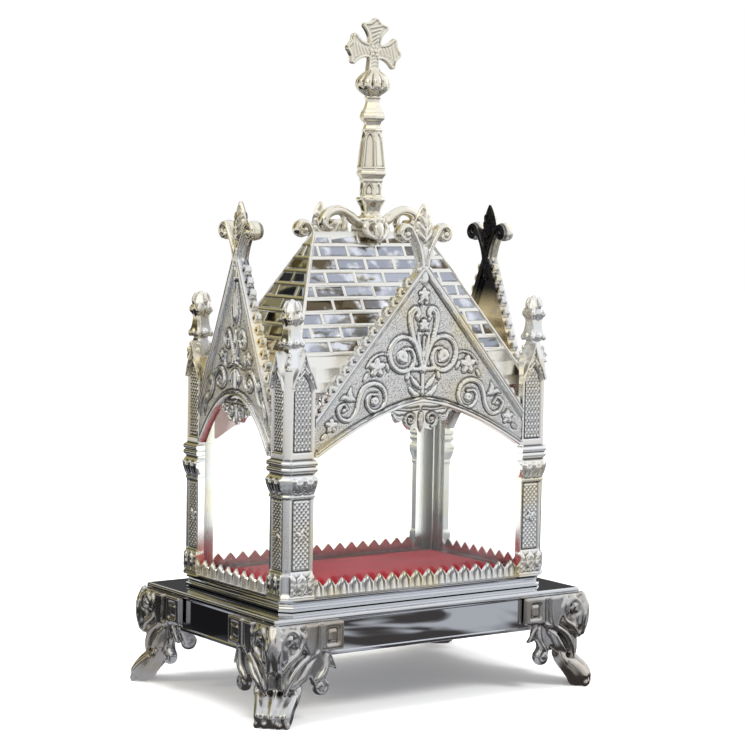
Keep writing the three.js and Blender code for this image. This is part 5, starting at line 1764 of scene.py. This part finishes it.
def mirrored_ray(tree):
    """One where the ray comes off polished metal, none where it comes from the eye or through glass."""
    ray = add_node(tree, "ShaderNodeLightPath").outputs
    return math_node(tree, "SUBTRACT", ray["Is Glossy Ray"], ray["Is Transmission Ray"], clamp=True)


def table_colour(tree):
    """The table as the metal shows it: near black behind and left, patterned in front, pale far off."""
    place = add_node(tree, "ShaderNodeTexCoord").outputs["Object"]
    across, along, _ = add_node(tree, "ShaderNodeSeparateXYZ", {"Vector": place}).outputs
    distance = add_node(tree, "ShaderNodeVectorMath", {0: place}, operation="LENGTH").outputs["Value"]
    pattern = mask_node(tree, noise_node(tree, Scale=8, Distortion=1.2), 0.46, 0.56)
    patterned = blend_node(tree, pattern, (0.06, 0.055, 0.055), (0.5, 0.52, 0.56))
    right = mask_node(tree, across, -0.25, -0.17)
    forward = mask_node(tree, along, 0.0, -0.08)
    near = blend_node(tree, math_node(tree, "MAXIMUM", right, forward), (0.012, 0.011, 0.012), patterned)
    away = mask_node(tree, distance, 1.1, 1.7)
    for low, high in ((-0.5, -0.85), (1.0, 1.2)):
        away = math_node(tree, "MAXIMUM", away, mask_node(tree, along, low, high))
    return blend_node(tree, away, near, (0.8, 0.79, 0.77))


def make_floor():
    """A pale floor that the polished metal shows as a darker table."""
    bpy.ops.mesh.primitive_circle_add(vertices=96, radius=6, fill_type="NGON")
    floor = bpy.context.object
    floor.name = "floor"
    material, tree, shader = new_material("pale floor")
    feed(tree, shader, {
        "Base Color": (0.92, 0.92, 0.92, 1),
        "Roughness": 0.9,
        "Specular IOR Level": 0.1,
        "Emission Color": (1, 1, 1, 1),
        "Emission Strength": 0.1,
    })
    table = add_node(tree, "ShaderNodeEmission", {"Color": table_colour(tree)})
    shown = {"Fac": mirrored_ray(tree), 1: shader.outputs["BSDF"], 2: table.outputs["Emission"]}
    switch = add_node(tree, "ShaderNodeMixShader", shown)
    feed(tree, tree.nodes["Material Output"], {"Surface": switch.outputs["Shader"]})
    material.cycles.emission_sampling = "NONE"
    floor.data.materials.append(material)


def make_world():
    """White to the eye; the metal sees the patches of the studio in it."""
    world = bpy.data.worlds.new("studio")
    bpy.context.scene.world = world
    world.use_nodes = True
    tree = world.node_tree
    seen = add_node(tree, "ShaderNodeTexCoord").outputs["Generated"]
    colour = (0.8, 0.8, 0.8)
    for direction, width, tone in STUDIO:
        towards = {0: seen, 1: Vector(direction).normalized()}
        turn = add_node(tree, "ShaderNodeVectorMath", towards, operation="DOT_PRODUCT")
        edge = math.cos(math.radians(width))
        mask = mask_node(tree, turn.outputs["Value"], edge, edge + 0.45 * (1 - edge))
        colour = blend_node(tree, mask, colour, tone)
    shown = blend_node(tree, mirrored_ray(tree), (1.0, 1.0, 1.0), colour)
    feed(tree, tree.nodes["Background"], {"Color": shown, "Strength": 1.0})


def soft_light(name, place, size, power, colour=(1, 1, 1)):
    data = bpy.data.lights.new(name, "AREA")
    data.shape = "DISK"
    data.size = size
    data.energy = power
    data.color = colour
    lamp = bpy.data.objects.new(name, data)
    lamp.location = place
    lamp.rotation_euler = (Vector((0, 0, 0.2)) - Vector(place)).to_track_quat("-Z", "Y").to_euler()
    lamp.visible_glossy = False
    bpy.context.scene.collection.objects.link(lamp)


def make_lights():
    soft_light("key", (0.9, -1.6, 1.9), 0.9, 34)
    soft_light("top", (-0.3, 0.3, 2.2), 1.4, 26)
    soft_light("warm side", (-1.7, 0.5, 0.9), 0.5, 9, (1.0, 0.9, 0.7))


def make_camera():
    azimuth, elevation, roll = (math.radians(a) for a in (CAMERA_AZIMUTH, CAMERA_ELEVATION, CAMERA_ROLL))
    back = Vector((math.sin(azimuth) * math.cos(elevation), -math.cos(azimuth) * math.cos(elevation),
                   math.sin(elevation)))
    right = Vector((math.cos(azimuth), math.sin(azimuth), 0))
    up = back.cross(right)
    target = right * CAMERA_AIM[0] + Vector((0, 0, CAMERA_AIM[1]))
    x_axis = right * math.cos(roll) + up * math.sin(roll)
    y_axis = up * math.cos(roll) - right * math.sin(roll)
    data = bpy.data.cameras.new("camera")
    data.lens = CAMERA_LENS
    data.sensor_width = 36
    data.sensor_fit = "HORIZONTAL"
    camera = bpy.data.objects.new("camera", data)
    turn = Matrix((x_axis, y_axis, back)).transposed().to_4x4()
    camera.matrix_world = Matrix.Translation((target + back * CAMERA_DISTANCE) * MM) @ turn
    bpy.context.scene.collection.objects.link(camera)
    bpy.context.scene.camera = camera


# The whole object

ROW = row_tree()
PATINA_AND_PAINTED_LIGHT = patina_and_painted_light_group()
RELIEF_METAL = plated("plated relief", PATINA_AND_PAINTED_LIGHT, bump=0.25)
SMOOTH_METAL = plated("polished casting", PATINA_AND_PAINTED_LIGHT, bump=0.05, Polish=0.2, Dullness=0.3, Shade_amount=0.8,
                      Bright=(0.66, 0.65, 0.64, 1), Warm=(0.5, 0.44, 0.36, 1), Shade=(0.05, 0.042, 0.04, 1))
MIRROR_METAL = mirror("mirror plate", (0.74, 0.75, 0.77), 0.03, 0.04)
TILE_METAL = tile_metal()
JOINT_METAL = mirror("tile joints", (0.9, 0.88, 0.82), 0.24, 0.02)
VELVET = velvet()
GLASS = clear_glass()

make_plinth()
make_base()
make_feet()
make_piers()
make_gables()
make_fringes()
make_velvet()
glaze()
make_roof()
make_cresting()
make_spire()
make_floor()
make_world()
make_lights()
make_camera()
bpy.context.scene.view_settings.view_transform = "Standard"
